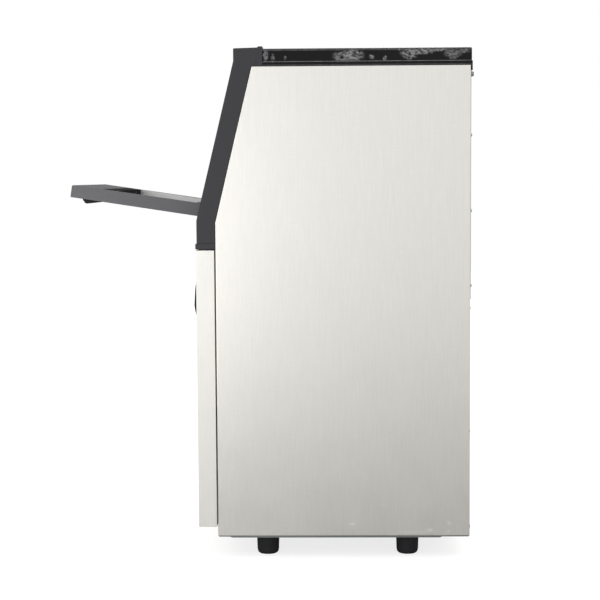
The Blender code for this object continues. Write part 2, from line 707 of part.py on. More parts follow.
def build_top_cover(root):
    """The glossy lid, a shell with a stepped lip and a rear skirt."""
    shape = bmesh.new()
    step = PANEL_TOP + GAP + COVER_LIP
    add_cube(
        shape, (-HALF_WIDTH, HALF_WIDTH), (-COVER_DEPTH, COVER_OVERHANG), (PANEL_TOP + GAP, step))
    shape.normal_update()
    top = [face for face in shape.faces if face.normal.z > 0.9]
    bmesh.ops.inset_region(shape, faces=top, thickness=COVER_STEP)
    raised = bmesh.ops.extrude_face_region(shape, geom=top)["geom"]
    verts = [item for item in raised if isinstance(item, bmesh.types.BMVert)]
    bmesh.ops.translate(shape, verts=verts, vec=(0, 0, COVER_TOP - step))
    bmesh.ops.delete(shape, geom=top, context="FACES")
    shape.normal_update()
    crown = [edge for edge in shape.edges if all(vert.co.z > COVER_TOP - MM for vert in edge.verts)]
    bmesh.ops.bevel(shape, geom=crown, offset=2 * MM, segments=2, profile=0.5, affect="EDGES")
    low = PANEL_TOP + GAP + 0.1 * MM
    bottom = [face for face in shape.faces if face.calc_center_median().z < low]
    bmesh.ops.delete(shape, geom=bottom, context="FACES")
    cover = link("top_cover", mesh_from(shape, "top_cover"), root, BLACK_GLOSS)
    walled(cover, COVER_WALL)
    half = HALF_WIDTH - COVER_WALL
    fuse(cover, block(
        "skirt_join", (-half, half), (COVER_OVERHANG - COVER_WALL / 2, COVER_OVERHANG + MM),
        (PANEL_TOP - SKIRT_DROP, step), root))


def build_rear(root):
    """The upper rear sheet, the slotted lower one with its recess, and screws."""
    top = PANEL_TOP - SKIRT_DROP - GAP
    half = INNER_HALF + REAR_LAP
    block("upper_rear_panel", (-half, half), (GAP, REAR_PROUD), (REAR_SPLIT, top), root, GALVANISED)
    half = INNER_HALF - GAP
    panel = block(
        "lower_rear_panel", (-half, half), (-SHEET, 0.0), (PANEL_BOTTOM + GAP, REAR_SPLIT - GAP), root,
        GALVANISED)
    low = RECESS_BOTTOM
    high = RECESS_BOTTOM + RECESS_HEIGHT
    reach = RECESS_WIDTH / 2
    fuse(panel, block(
        "recess_outer", (RECESS_X - reach - SHEET, RECESS_X + reach + SHEET),
        (-RECESS_DEPTH - SHEET, -SHEET / 2), (low - SHEET, high + SHEET), root))
    cut(panel, block(
        "recess_inner", (RECESS_X - reach, RECESS_X + reach), (-RECESS_DEPTH, 5 * MM), (low, high), root))
    slots = []
    for column, rows in ((-1, REAR_LEFT_ROWS), (1, LOUVRE_ROWS)):
        centre = column * (LOUVRE_WIDTH / 2 + LOUVRE_GAP)
        for row in range(rows):
            base = COMPARTMENT_TOP - REAR_SLOT_TOP - LOUVRE_HEIGHT - row * LOUVRE_PITCH
            slots.append((
                (centre - LOUVRE_WIDTH / 2, centre + LOUVRE_WIDTH / 2), (-5 * MM, 5 * MM),
                (base, base + LOUVRE_HEIGHT)))
    cut(panel, blocks("rear_slot_cut", slots, root))
    back = -RECESS_DEPTH - SHEET
    inlet = (RECESS_X + reach - 26 * MM, back - 30 * MM, INLET_HEIGHT + 62 * MM)
    drain = (DRAIN_X, back - 12 * MM, INLET_HEIGHT)
    gland = (RECESS_X + reach - 26 * MM, back - 6 * MM, INLET_HEIGHT)
    for word, radius, place in (
            ("inlet", INLET_RADIUS, inlet), ("drain", DRAIN_RADIUS, drain), ("gland", GLAND_RADIUS, gland)):
        start = (place[0], back - 5 * MM, place[2])
        cut(panel, drum(word + "_hole_cut", radius + GAP, start, 10 * MM, "Y", root, sides=24))
    mouth = -2 * MM
    length = mouth - inlet[1]
    collar = back - GAP - inlet[1]
    profile = [
        (0.0, length - 14 * MM), (INLET_RADIUS * 0.72, length - 14 * MM), (INLET_RADIUS * 0.72, length),
        (INLET_RADIUS, length), (INLET_RADIUS, collar), (INLET_RADIUS + 3 * MM, collar),
        (INLET_RADIUS + 3 * MM, collar - 4 * MM), (INLET_RADIUS - 2 * MM, collar - 4 * MM),
        (INLET_RADIUS - 2 * MM, 0.0), (0.0, 0.0)]
    valve = turned("inlet_valve", profile, inlet, "Y", root, WHITE_PLASTIC)
    fuse(valve, block(
        "valve_body", (inlet[0] - 12 * MM, inlet[0] + 12 * MM), (inlet[1] - 8 * MM, inlet[1] + 12 * MM),
        (inlet[2] - 12 * MM, inlet[2] + 12 * MM), root))
    start = (inlet[0], inlet[1] - 4 * MM, inlet[2] + 10 * MM)
    fuse(valve, drum("valve_coil", 14 * MM, start, 30 * MM, "Z", root, sides=20))
    length = mouth - drain[1]
    collar = back - GAP - drain[1]
    profile = [
        (0.0, length - 20 * MM), (DRAIN_RADIUS * 0.7, length - 20 * MM), (DRAIN_RADIUS * 0.7, length),
        (DRAIN_RADIUS, length), (DRAIN_RADIUS, collar), (DRAIN_RADIUS + 3 * MM, collar),
        (DRAIN_RADIUS + 3 * MM, collar - 3 * MM), (DRAIN_RADIUS - 1.5 * MM, collar - 3 * MM),
        (DRAIN_RADIUS - 1.5 * MM, 0.0), (0.0, 0.0)]
    turned("drain_fitting", profile, drain, "Y", root, WHITE_PLASTIC)
    below = drain[1] - GAP
    hose = rounded_route([
        (drain[0], below, drain[2]), (drain[0], below - 20 * MM, drain[2]),
        (drain[0], below - 20 * MM, COMPARTMENT_TOP - GAP)], 14 * MM)
    pipe("drain_hose", hose, DRAIN_RADIUS - 1.5 * MM, root, CLEAR_TUBE)
    length = -8 * MM - gland[1]
    collar = back - GAP - gland[1]
    profile = [
        (0.0, length - 12 * MM), (3.5 * MM, length - 12 * MM), (3.5 * MM, length), (5.5 * MM, length),
        (GLAND_RADIUS, length - 6 * MM), (GLAND_RADIUS, collar), (GLAND_RADIUS + 2.5 * MM, collar),
        (GLAND_RADIUS + 2.5 * MM, 0.0), (0.0, 0.0)]
    turned("cord_gland", profile, gland, "Y", root, BLACK_RUBBER, steps=16)
    seat = REAR_PROUD + GAP
    for side, word in ((1, "right"), (-1, "left")):
        x = side * (HALF_WIDTH - SCREW_INSET)
        drum(
            "cover_screw_" + word, COVER_SCREW_RADIUS, (x, seat, COVER_SCREW_Z),
            COVER_SCREW_REACH - seat, "Y", root, ALUMINIUM, sides=16, end_radius=COVER_SCREW_RADIUS * 0.8)


def liner_outline(grow=0.0):
    front = -SIDE_DEPTH + LINER_FRONT
    lip = SHOULDER_HEIGHT + LINER_FRONT / math.tan(LEAN)
    floor = LINER_FLOOR_FRONT - grow
    roof = LINER_TOP + grow
    return [
        (front - grow, floor), (-LINER_REAR + grow, floor - LINER_FALL), (-LINER_REAR + grow, roof),
        (slant_y(roof), roof), (front - grow, lip)]


def build_bin(root):
    """The white tub, the foam round it and the level sensor's guard."""
    front, *_, lip = liner_outline()
    slope = Vector((0.0, -math.cos(LEAN), math.sin(LEAN)))
    open_prism(
        "bin_liner", liner_outline(), (-LINER_HALF, LINER_HALF), LINER_WALL, root, WHITE_PLASTIC,
        lambda centre, normal: normal.dot(slope) > 0.99)
    face = PANEL_FACE + SHEET + GAP
    shelf = FRONT_PANEL_TOP - SHEET - GAP
    roof = PANEL_TOP - FOAM_TOP
    outline = [
        (face, COMPARTMENT_TOP), (-SHEET - GAP, COMPARTMENT_TOP), (-SHEET - GAP, roof),
        (slant_y(roof), roof), (-SIDE_DEPTH, SHOULDER_HEIGHT), (-SIDE_DEPTH, shelf), (face, shelf)]
    half = INNER_HALF - FOAM_SIDE
    foam = extruded("foam_jacket", outline, (-half, half), root, FOAM)
    room = liner_outline(GAP)
    beyond = room[:3] + [
        (slant_y(LINER_TOP, 30 * MM), LINER_TOP + GAP), (slant_y(lip[1], 30 * MM), lip[1] - GAP),
        (front[0] - GAP, lip[1] - GAP)]
    reach = LINER_HALF + GAP
    cut(foam, extruded("bin_cut", beyond, (-reach, reach), root))
    wall = LINER_HALF - LINER_WALL - GAP
    block(
        "bin_sensor", (wall - SENSOR_PROUD, wall), (-SENSOR_DEPTH - SENSOR_HALF, -SENSOR_DEPTH + SENSOR_HALF),
        (SENSOR_TOP - SENSOR_TALL, SENSOR_TOP), root, WHITE_PLASTIC, bevel=2.5 * MM)


def build_evaporator(root):
    """The moulded stand, the freezing plate with its cells, coil and spray tube."""
    rear = -LINER_REAR - LINER_WALL - GAP
    board = block(
        "evaporator_frame", (-CHEEK_INNER - CHEEK_THICKNESS, CHEEK_INNER + CHEEK_THICKNESS),
        (rear - BOARD_THICKNESS, rear), (CHEEK_BOTTOM, CHEEK_TOP), root, WHITE_PLASTIC)
    back = rear - MM
    nose = rear - CHEEK_DEPTH
    brow = -CURTAIN_PIVOT - 10 * MM
    cheek = [
        (back, CHEEK_BOTTOM), (nose, CHEEK_BOTTOM), (nose, TROUGH_BOTTOM + TROUGH_HEIGHT + 6 * MM),
        (brow - 4 * MM, PLATE_BOTTOM + 30 * MM), (brow, PLATE_BOTTOM + 60 * MM), (brow, CHEEK_TOP - 6 * MM),
        (brow + 6 * MM, CHEEK_TOP), (back, CHEEK_TOP)]
    ledges = []
    for side in (1, -1):
        inner = side * CHEEK_INNER
        outer = side * (CHEEK_INNER + CHEEK_THICKNESS)
        wall = extruded("cheek_%d" % side, cheek, (inner, outer), root)
        fuse(board, wall)
        near, far = sorted((inner - side * 12 * MM, inner + side * 2 * MM))
        ledges.append(((near, far), (nose + 6 * MM, back), (TROUGH_BOTTOM - 5 * MM, TROUGH_BOTTOM - GAP)))
    fuse(board, blocks("trough_ledges", ledges, root))
    start = (-CHEEK_INNER - 10 * MM, -CURTAIN_PIVOT, CURTAIN_HEIGHT)
    cut(board, drum(
        "curtain_bore_cut", CURTAIN_PIN + GAP, start, 2 * (CHEEK_INNER + 10 * MM), "X", root, sides=16))
    height = CELL_ROWS * ROW_PITCH
    half = CELL_COLUMNS * CELL_PITCH / 2
    face = -PLATE_FRONT
    plate = block(
        "evaporator_plate", (-CHEEK_INNER + GAP, CHEEK_INNER - GAP), (face, face + PLATE_THICKNESS),
        (PLATE_BOTTOM, PLATE_BOTTOM + height), root, NICKEL)
    wall = CELL_WALL / 2
    grid = blocks("cell_grid", [(
        (-half - wall, half + wall), (face - CELL_DEPTH, face + PLATE_THICKNESS / 2),
        (PLATE_BOTTOM + MM, PLATE_BOTTOM + height - MM))], root)
    rows = []
    for row in range(CELL_ROWS):
        low = PLATE_BOTTOM + MM + (height - 2 * MM) * row / CELL_ROWS + wall
        high = PLATE_BOTTOM + MM + (height - 2 * MM) * (row + 1) / CELL_ROWS - wall
        for column in range(CELL_COLUMNS):
            left = -half + column * CELL_PITCH + wall
            rows.append((
                (left, left + CELL_PITCH - CELL_WALL), (face - CELL_DEPTH - 5 * MM, face), (low, high)))
    cells = blocks("cell_cut", rows, root)
    for obj in (grid, cells):
        for vert in obj.data.vertices:
            vert.co.z += (vert.co.y - face) * CELL_SLOPE
    fuse(plate, grid)
    cut(plate, cells)
    y = face + PLATE_THICKNESS + GAP + COIL_RADIUS
    reach = CELL_COLUMNS * CELL_PITCH / 2 - 6 * MM
    points = [(reach, rear - BOARD_THICKNESS - GAP, PLATE_BOTTOM + 10 * MM)]
    for run in range(COIL_RUNS):
        z = PLATE_BOTTOM + 10 * MM + run * COIL_PITCH
        side = 1 if run % 2 == 0 else -1
        points += [(side * reach, y, z), (-side * reach, y, z)]
    points.append((points[-1][0], rear - BOARD_THICKNESS - GAP, points[-1][2]))
    pipe("evaporator_coil", rounded_route(points, 9 * MM, 3), COIL_RADIUS, root, COPPER)
    spray_y = face - CELL_DEPTH / 2
    spray_z = PLATE_BOTTOM + height + SPRAY_HEIGHT
    reach = CHEEK_INNER - GAP
    tube = drum("spray_tube", SPRAY_RADIUS, (-reach, spray_y, spray_z), 2 * reach, "X", root, WHITE_PLASTIC)
    start = (-reach - MM, spray_y, spray_z)
    cut(tube, drum("spray_bore_cut", SPRAY_BORE, start, 2 * (reach + MM), "X", root))
    shape = bmesh.new()
    for column in range(CELL_COLUMNS):
        x = (column - (CELL_COLUMNS - 1) / 2) * CELL_PITCH
        bmesh.ops.create_cone(
            shape, cap_ends=True, segments=8, radius1=SPRAY_HOLE, radius2=SPRAY_HOLE, depth=2 * SPRAY_RADIUS,
            matrix=Matrix.Translation((x, spray_y, spray_z - SPRAY_RADIUS)))
    cut(tube, link("spray_hole_cut", mesh_from(shape, "spray_hole_cut"), root))
    return spray_y, spray_z


def build_water_works(root, spray_y, spray_z):
    """The trough under the plate, its pump and hose, the float and the curtain."""
    rear = -LINER_REAR - LINER_WALL - GAP - BOARD_THICKNESS - TROUGH_REAR
    half = CHEEK_INNER - GAP
    open_box(
        "water_trough", (-half, half), (rear - TROUGH_DEPTH, rear),
        (TROUGH_BOTTOM, TROUGH_BOTTOM + TROUGH_HEIGHT), TROUGH_WALL, (0, 0, 1), root, WHITE_PLASTIC,
        rounding=5 * MM)
    floor = TROUGH_BOTTOM + TROUGH_WALL + GAP
    y = rear - TROUGH_DEPTH * 0.38
    profile = [
        (0.0, 64 * MM), (8 * MM, 64 * MM), (8 * MM, 58 * MM), (PUMP_RADIUS - 2 * MM, 57 * MM),
        (PUMP_RADIUS, 54 * MM), (PUMP_RADIUS, 26 * MM), (12 * MM, 24 * MM), (12 * MM, 15 * MM),
        (PUMP_RADIUS - MM, 13 * MM), (PUMP_RADIUS - MM, 0.0), (0.0, 0.0)]
    pump = turned("water_pump", profile, (PUMP_X, y, floor), "Z", root, BLACK_ENAMEL)
    spout = PUMP_X + PUMP_RADIUS + 9 * MM
    fuse(pump, block(
        "pump_arm", (PUMP_X, spout), (y - 5 * MM, y + 5 * MM), (floor + 2 * MM, floor + 11 * MM), root))
    fuse(pump, drum("pump_spout", 4 * MM, (spout, y, floor + 2 * MM), 20 * MM, "Z", root, sides=16))
    behind = -PLATE_FRONT + PLATE_THICKNESS + 2.5 * COIL_RADIUS + HOSE_RADIUS
    under = PLATE_BOTTOM - 2.4 * HOSE_RADIUS
    route = rounded_route([
        (spout, y, floor + 22 * MM + GAP), (spout, y, under - 6 * MM), (spout + 2 * MM, behind, under),
        (spout + 2 * MM, behind, spray_z), (spout + 2 * MM, spray_y + SPRAY_RADIUS + GAP, spray_z)],
        9 * MM)
    pipe("pump_hose", route, HOSE_RADIUS, root, CLEAR_TUBE)
    stem_top = 50 * MM
    profile = [
        (0.0, stem_top), (6 * MM, stem_top), (6 * MM, stem_top - 3 * MM), (FLOAT_STEM, stem_top - 3 * MM),
        (FLOAT_STEM, MM), (8 * MM, MM), (8 * MM, 0.0), (0.0, 0.0)]
    turned("float_stem", profile, (FLOAT_X, y, floor), "Z", root, WHITE_PLASTIC, steps=16)
    bottom = MM + GAP
    hollow = FLOAT_STEM + GAP
    shape = [
        (hollow, bottom + FLOAT_HEIGHT), (FLOAT_RADIUS - 2 * MM, bottom + FLOAT_HEIGHT),
        (FLOAT_RADIUS, bottom + FLOAT_HEIGHT - 2 * MM), (FLOAT_RADIUS, bottom + 2 * MM),
        (FLOAT_RADIUS - 2 * MM, bottom), (hollow, bottom), (hollow, bottom + FLOAT_HEIGHT)]
    turned("float", shape, (FLOAT_X, y, floor), "Z", root, WHITE_PLASTIC, steps=20)
    pivot = axis_empty("curtain_pivot", root, (0.0, -CURTAIN_PIVOT, CURTAIN_HEIGHT))
    reach = CHEEK_INNER - CURTAIN_SIDE
    thick = CURTAIN_THICKNESS / 2
    lip = CURTAIN_LENGTH - 12 * MM
    outline = [
        (-thick, 0.0), (-thick, -lip), (-thick - 4 * MM, -CURTAIN_LENGTH + 2 * MM),
        (-thick - 3 * MM, -CURTAIN_LENGTH), (thick - 3 * MM, -CURTAIN_LENGTH + MM), (thick, -lip),
        (thick, 0.0)]
    curtain = extruded("water_curtain", outline, (-reach, reach), pivot, WHITE_PLASTIC)
    fuse(curtain, drum("curtain_barrel", CURTAIN_BARREL, (-reach, 0.0, 0.0), 2 * reach, "X", pivot, sides=20))
    ribs = []
    for index in range(6):
        x = (index - 2.5) * reach * 0.36
        ribs.append(((x - MM, x + MM), (-thick - 2 * MM, 0.0), (-lip + 6 * MM, -2 * MM)))
    fuse(curtain, blocks("curtain_ribs", ribs, pivot))
    pin = reach + CURTAIN_SIDE + CHEEK_THICKNESS - MM
    fuse(curtain, drum("curtain_pins", CURTAIN_PIN, (-pin, 0.0, 0.0), 2 * pin, "X", pivot, sides=16))


def tube_rise(index):
    """Height of one condenser tube above the base tray."""
    return CONDENSER_HEIGHT * (index + 0.5) / (2 * BEND_ROWS + 1)


def build_machine(root):
    """Compressor, condenser, fan, pipes and electrical box on the base tray."""
    ground = BASE_FLOOR + GAP
    for side, word in ((1, "right"), (-1, "left")):
        for depth, end in ((-1, "front"), (1, "rear")):
            place = (COMPRESSOR_X + side * MOUNT_SPAN_X / 2, COMPRESSOR_Y + depth * MOUNT_SPAN_Y / 2, ground)
            profile = [
                (0.0, GROMMET_HEIGHT), (GROMMET_RADIUS * 0.8, GROMMET_HEIGHT),
                (GROMMET_RADIUS * 0.6, GROMMET_HEIGHT * 0.5), (GROMMET_RADIUS, 0.0), (0.0, 0.0)]
            turned("grommet_" + end + "_" + word, profile, place, "Z", root, BLACK_RUBBER, steps=14)
    deck = ground + GROMMET_HEIGHT + GAP
    radius = COMPRESSOR_RADIUS
    tall = COMPRESSOR_HEIGHT
    profile = [
        (0.0, tall), (radius * 0.45, tall - 2 * MM), (radius * 0.8, tall - 13 * MM),
        (radius * 0.96, tall - 32 * MM), (radius * 0.98, tall * 0.56), (radius + 3 * MM, tall * 0.55),
        (radius + 3 * MM, tall * 0.52), (radius * 0.98, tall * 0.51), (radius * 0.96, 24 * MM),
        (radius * 0.8, 8 * MM), (radius * 0.5, 0.0), (0.0, 0.0)]
    body = turned(
        "compressor", profile, (COMPRESSOR_X, COMPRESSOR_Y, deck), "Z", root, BLACK_ENAMEL, steps=28)
    wide = MOUNT_SPAN_X / 2 + 12 * MM
    deep = MOUNT_SPAN_Y / 2 + 12 * MM
    fuse(body, block(
        "compressor_deck", (COMPRESSOR_X - wide, COMPRESSOR_X + wide),
        (COMPRESSOR_Y - deep, COMPRESSOR_Y + deep), (deck, deck + MOUNT_PLATE), root))
    fuse(body, block(
        "terminal_cover", (COMPRESSOR_X + radius * 0.7, COMPRESSOR_X + radius + 16 * MM),
        (COMPRESSOR_Y - 22 * MM, COMPRESSOR_Y + 22 * MM), (deck + 50 * MM, deck + 82 * MM), root))
    back = -CONDENSER_FRONT + CONDENSER_DEPTH
    half = CONDENSER_WIDTH / 2
    span = (CONDENSER_X - half, CONDENSER_X + half)
    core = block(
        "condenser", span, (-CONDENSER_FRONT, back), (ground, ground + CONDENSER_HEIGHT), root, ALUMINIUM)
    pitch = CONDENSER_WIDTH / FIN_COUNT
    grooves = []
    for index in range(FIN_COUNT):
        x = span[0] + (index + 0.5) * pitch
        for near, far in (
                (-CONDENSER_FRONT - MM, -CONDENSER_FRONT + FIN_GROOVE), (back - FIN_GROOVE, back + MM)):
            grooves.append((
                (x - pitch * 0.3, x + pitch * 0.3), (near, far),
                (ground + 5 * MM, ground + CONDENSER_HEIGHT - 5 * MM)))
    cut(core, blocks("fin_groove_cut", grooves, root))
    middle = (-CONDENSER_FRONT + back) / 2
    for side in (1, -1):
        for row in range(BEND_ROWS if side < 0 else BEND_ROWS - 1):
            first = 2 * row + (1 if side > 0 else 0)
            low = ground + tube_rise(first)
            high = ground + tube_rise(first + 1)
            edge = CONDENSER_X + side * (half - 2 * MM)
            out = CONDENSER_X + side * (half + 9 * MM)
            route = rounded_route(
                [(edge, middle, low), (out, middle, low), (out, middle, high), (edge, middle, high)],
                7 * MM, 3)
            fuse(core, pipe_mesh("bend_%d_%d" % (side, row), route, BEND_RADIUS, root))
    axis_z = ground + CONDENSER_HEIGHT / 2
    fan_y = back + GAP + SHROUD_DEPTH * 0.6
    opening = FAN_RADIUS + FAN_CLEARANCE
    shroud = block(
        "fan_shroud", span, (back + GAP, back + GAP + 1.6 * MM), (ground, ground + CONDENSER_HEIGHT), root,
        BLACK_ENAMEL)
    start = (CONDENSER_X, back + GAP + MM, axis_z)
    fuse(shroud, drum("shroud_ring", opening + 2 * MM, start, SHROUD_DEPTH - MM, "Y", root, sides=32))
    start = (CONDENSER_X, back - MM, axis_z)
    cut(shroud, drum("shroud_bore_cut", opening, start, SHROUD_DEPTH + 10 * MM, "Y", root, sides=32))
    build_fan(root, fan_y, axis_z, ground)
    build_pipes(root, ground, deck, back)
    block(
        "electrical_box", (BOX_X - BOX_WIDTH / 2, BOX_X + BOX_WIDTH / 2),
        (-CONDENSER_FRONT, -CONDENSER_FRONT + BOX_DEPTH), (ground, ground + BOX_HEIGHT), root,
        GALVANISED, bevel=3 * MM)


def build_fan(root, fan_y, axis_z, ground):
    """Bladed rotor on its motor shaft, and the motor's cradle."""
    hub_rear = fan_y + FAN_DEPTH / 2
    axle = axis_empty("fan_axle", root, (CONDENSER_X, fan_y, axis_z))
    start = (0.0, -FAN_DEPTH / 2, 0.0)
    rotor = drum("fan_blade", FAN_HUB, start, FAN_DEPTH, "Y", axle, DARK_PLASTIC, sides=20)
    shape = bmesh.new()
    inner = FAN_HUB - 3 * MM
    for index in range(FAN_BLADES):
        verts = add_cube(shape, (-11 * MM, 11 * MM), (-0.8 * MM, 0.8 * MM), (inner, FAN_RADIUS))
        for vert in verts:
            if vert.co.z > inner + MM:
                vert.co.x *= 1.9
        twist = Matrix.Rotation(2 * math.pi * index / FAN_BLADES, 4, "Y") @ Matrix.Rotation(FAN_PITCH, 4, "Z")
        bmesh.ops.transform(shape, matrix=twist, verts=verts)
    blades = link("fan_blades_join", mesh_from(shape, "fan_blades_join"), axle)
    fuse(rotor, blades)
    bore = 9 * MM
    start = (0.0, FAN_DEPTH / 2 - bore, 0.0)
    cut(rotor, drum("fan_bore_cut", SHAFT_RADIUS + GAP, start, bore + MM, "Y", axle, sides=16))
    shaft = bore + 4 * MM
    tip = hub_rear - bore + GAP
    profile = [
        (0.0, shaft + MOTOR_LENGTH), (MOTOR_RADIUS * 0.7, shaft + MOTOR_LENGTH),
        (MOTOR_RADIUS, shaft + MOTOR_LENGTH - 6 * MM), (MOTOR_RADIUS, shaft + 5 * MM),
        (MOTOR_RADIUS * 0.75, shaft), (SHAFT_RADIUS, shaft), (SHAFT_RADIUS, 0.0), (0.0, 0.0)]
    turned("fan_motor", profile, (CONDENSER_X, tip, axis_z), "Y", root, GALVANISED)
    near = tip + shaft + 10 * MM
    far = near + MOTOR_LENGTH - 20 * MM
    cradle = block(
        "motor_bracket", (CONDENSER_X - MOTOR_RADIUS * 0.7, CONDENSER_X + MOTOR_RADIUS * 0.7), (near, far),
        (ground, axis_z - MOTOR_RADIUS * 0.4), root, GALVANISED)
    cut(cradle, drum(
        "cradle_cut", MOTOR_RADIUS + GAP, (CONDENSER_X, near - MM, axis_z), far - near + 2 * MM, "Y", root,
        sides=24))
    cut(cradle, block(
        "cradle_arch_cut", (CONDENSER_X - MOTOR_RADIUS * 0.45, CONDENSER_X + MOTOR_RADIUS * 0.45),
        (near - MM, far + MM), (ground - MM, axis_z - MOTOR_RADIUS - 12 * MM), root))


def build_pipes(root, ground, deck, back):
    """Copper lines from compressor to condenser, drier and evaporator."""
    side = CONDENSER_X + CONDENSER_WIDTH / 2 + GAP
    middle = back - CONDENSER_DEPTH / 2
    high = ground + tube_rise(2 * BEND_ROWS - 1)
    start_x = COMPRESSOR_X - COMPRESSOR_RADIUS * 0.98 - GAP
    lane = (start_x + side) / 2
    exit_z = deck + COMPRESSOR_HEIGHT * 0.6
    discharge = rounded_route([
        (start_x, COMPRESSOR_Y, exit_z), (lane, COMPRESSOR_Y, exit_z), (lane, COMPRESSOR_Y, high),
        (lane, middle, high), (side, middle, high)], 10 * MM)
    pipe("discharge_pipe", discharge, PIPE_RADIUS, root, COPPER)
    drier_low = ground + DRIER_RISE
    drier_y = COMPRESSOR_Y - COMPRESSOR_RADIUS - DRIER_SPACING
    low = ground + tube_rise(0)
    liquid = rounded_route([
        (side, middle, low), (lane, middle, low), (lane, drier_y, low), (lane, drier_y, drier_low - GAP)],
        10 * MM)
    pipe("liquid_pipe", liquid, PIPE_RADIUS * 0.8, root, COPPER)
    profile = [
        (0.0, DRIER_LENGTH), (PIPE_RADIUS, DRIER_LENGTH), (PIPE_RADIUS, DRIER_LENGTH - DRIER_TAPER),
        (DRIER_RADIUS, DRIER_LENGTH - 2 * DRIER_TAPER), (DRIER_RADIUS, 2 * DRIER_TAPER),
        (PIPE_RADIUS, DRIER_TAPER), (PIPE_RADIUS, 0.0), (0.0, 0.0)]
    turned("filter_drier", profile, (lane, drier_y, drier_low), "Z", root, COPPER, steps=16)
    suction = [
        (COMPRESSOR_X + 12 * MM, COMPRESSOR_Y, deck + COMPRESSOR_HEIGHT + GAP),
        (COMPRESSOR_X + 12 * MM, COMPRESSOR_Y, COMPARTMENT_TOP - GAP)]
    pipe("suction_pipe", suction, PIPE_RADIUS, root, COPPER)


def build_door(root):
    """The flip-down door, upright about its hinge and then turned open."""
    hinge = axis_empty("door_hinge", root, (0.0, PIVOT_Y, DOOR_PIVOT_HEIGHT), DOOR_TURN)
    tip = DOOR_TIP_THICKNESS / 2
    heel = HEEL_RADIUS
    outline = [(-tip + MM, DOOR_LENGTH), (-tip, DOOR_LENGTH - MM), (-heel, 0.0)]
    for step in range(1, 10):
        angle = math.pi * step / 10
        outline.append((-heel * math.cos(angle), -heel * math.sin(angle)))
    outline += [(heel, 0.0), (tip, DOOR_LENGTH - 1.5 * MM), (tip - 1.5 * MM, DOOR_LENGTH)]
    frame = extruded("door_frame", outline, (-DOOR_HALF, DOOR_HALF), hinge, DARK_PLASTIC)
    inner = tip
    recess_top = DOOR_LENGTH - DOOR_RECESS_TIP
    floor = inner - DOOR_RECESS_DEPTH
    half = DOOR_RECESS_HALF
    cut(frame, block(
        "recess_cut", (-half, half), (floor, inner + 5 * MM), (DOOR_RECESS_HEEL, recess_top), hinge))
    open_box(
        "door_liner", (-half + GAP, half - GAP), (floor + GAP, inner),
        (DOOR_RECESS_HEEL + GAP, recess_top - GAP), LINER_SHEET, (0, 1, 0), hinge, STEEL)
    low = DOOR_LENGTH - STRIP_NEAR
    high = DOOR_LENGTH - STRIP_FAR
    cut(frame, block(
        "strip_cut", (-half, half), (inner - STRIP_THICKNESS - GAP, inner + 5 * MM), (low, high), hinge))
    block(
        "door_strip", (-half + GAP, half - GAP), (inner - STRIP_THICKNESS, inner),
        (low + GAP, high - GAP), hinge, BLACK_RUBBER)
    reach = DOOR_HALF + MM
    bore = PIN_DEPTH + GAP
    for side, word in ((1, "right"), (-1, "left")):
        start = min(side * reach, side * (DOOR_HALF - bore))
        cut(frame, drum(
            "pin_bore_cut_" + word, PIN_RADIUS + GAP, (start, 0.0, 0.0), bore + MM, "X", hinge, sides=20))
    slope = (heel - tip) / DOOR_LENGTH

    def face(down, proud):
        """(y, z) at a distance from the tip, proud of the outer face."""
        return (-tip - slope * down - GAP - proud, DOOR_LENGTH - down)

    grip = [
        face(GRIP_START, 0.0), face(GRIP_START + MM, GRIP_HEIGHT * 0.5), face(GRIP_CREST - MM, GRIP_HEIGHT),
        face(GRIP_CREST + 2 * MM, GRIP_HEIGHT), face(GRIP_END, 1.2 * MM), face(GRIP_END, 0.0)]
    half = GRIP_WIDTH / 2
    handle = extruded("door_grip", grip, (-half, half), hinge, BLACK_RUBBER)
    scoop = [
        face(GRIP_START - 5 * MM, 0.8 * MM), face(GRIP_START - 5 * MM, GRIP_HEIGHT - GRIP_LIP),
        face(GRIP_CREST + MM, GRIP_HEIGHT - GRIP_LIP), face(GRIP_END - 14 * MM, 3 * MM),
        face(GRIP_END - 15 * MM, 0.8 * MM)]
    wall = 4 * MM
    cut(handle, extruded("finger_scoop_cut", scoop, (-half + wall, half - wall), hinge))


def main():
    """Build every piece under one centring empty."""
    root = axis_empty("machine_origin", None, (0.0, CENTRE_SHIFT, 0.0))
    build_side_panels(root)
    build_base(root)
    build_front_frame(root)
    build_sill_and_front(root)
    build_controls(root)
    build_top_cover(root)
    build_rear(root)
    build_bin(root)
    spray_y, spray_z = build_evaporator(root)
    build_water_works(root, spray_y, spray_z)
    build_machine(root)
    build_door(root)
    bpy.context.view_layer.update()


clear_scene()
PARTS = new_collection("ice_machine")
CUTTERS = new_collection("cutters")
main()
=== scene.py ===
"""Looks of the undercounter ice machine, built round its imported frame.

The camera stands at the photograph's place, on the machine's right-hand side.
"""

from __future__ import annotations

import json
import logging
import math
from dataclasses import dataclass
from enum import Enum
from typing import Callable, Sequence

import bmesh
import bpy
from bpy.types import Material, Node, NodeSocket, NodeTree, Object
from mathutils import Matrix, Vector

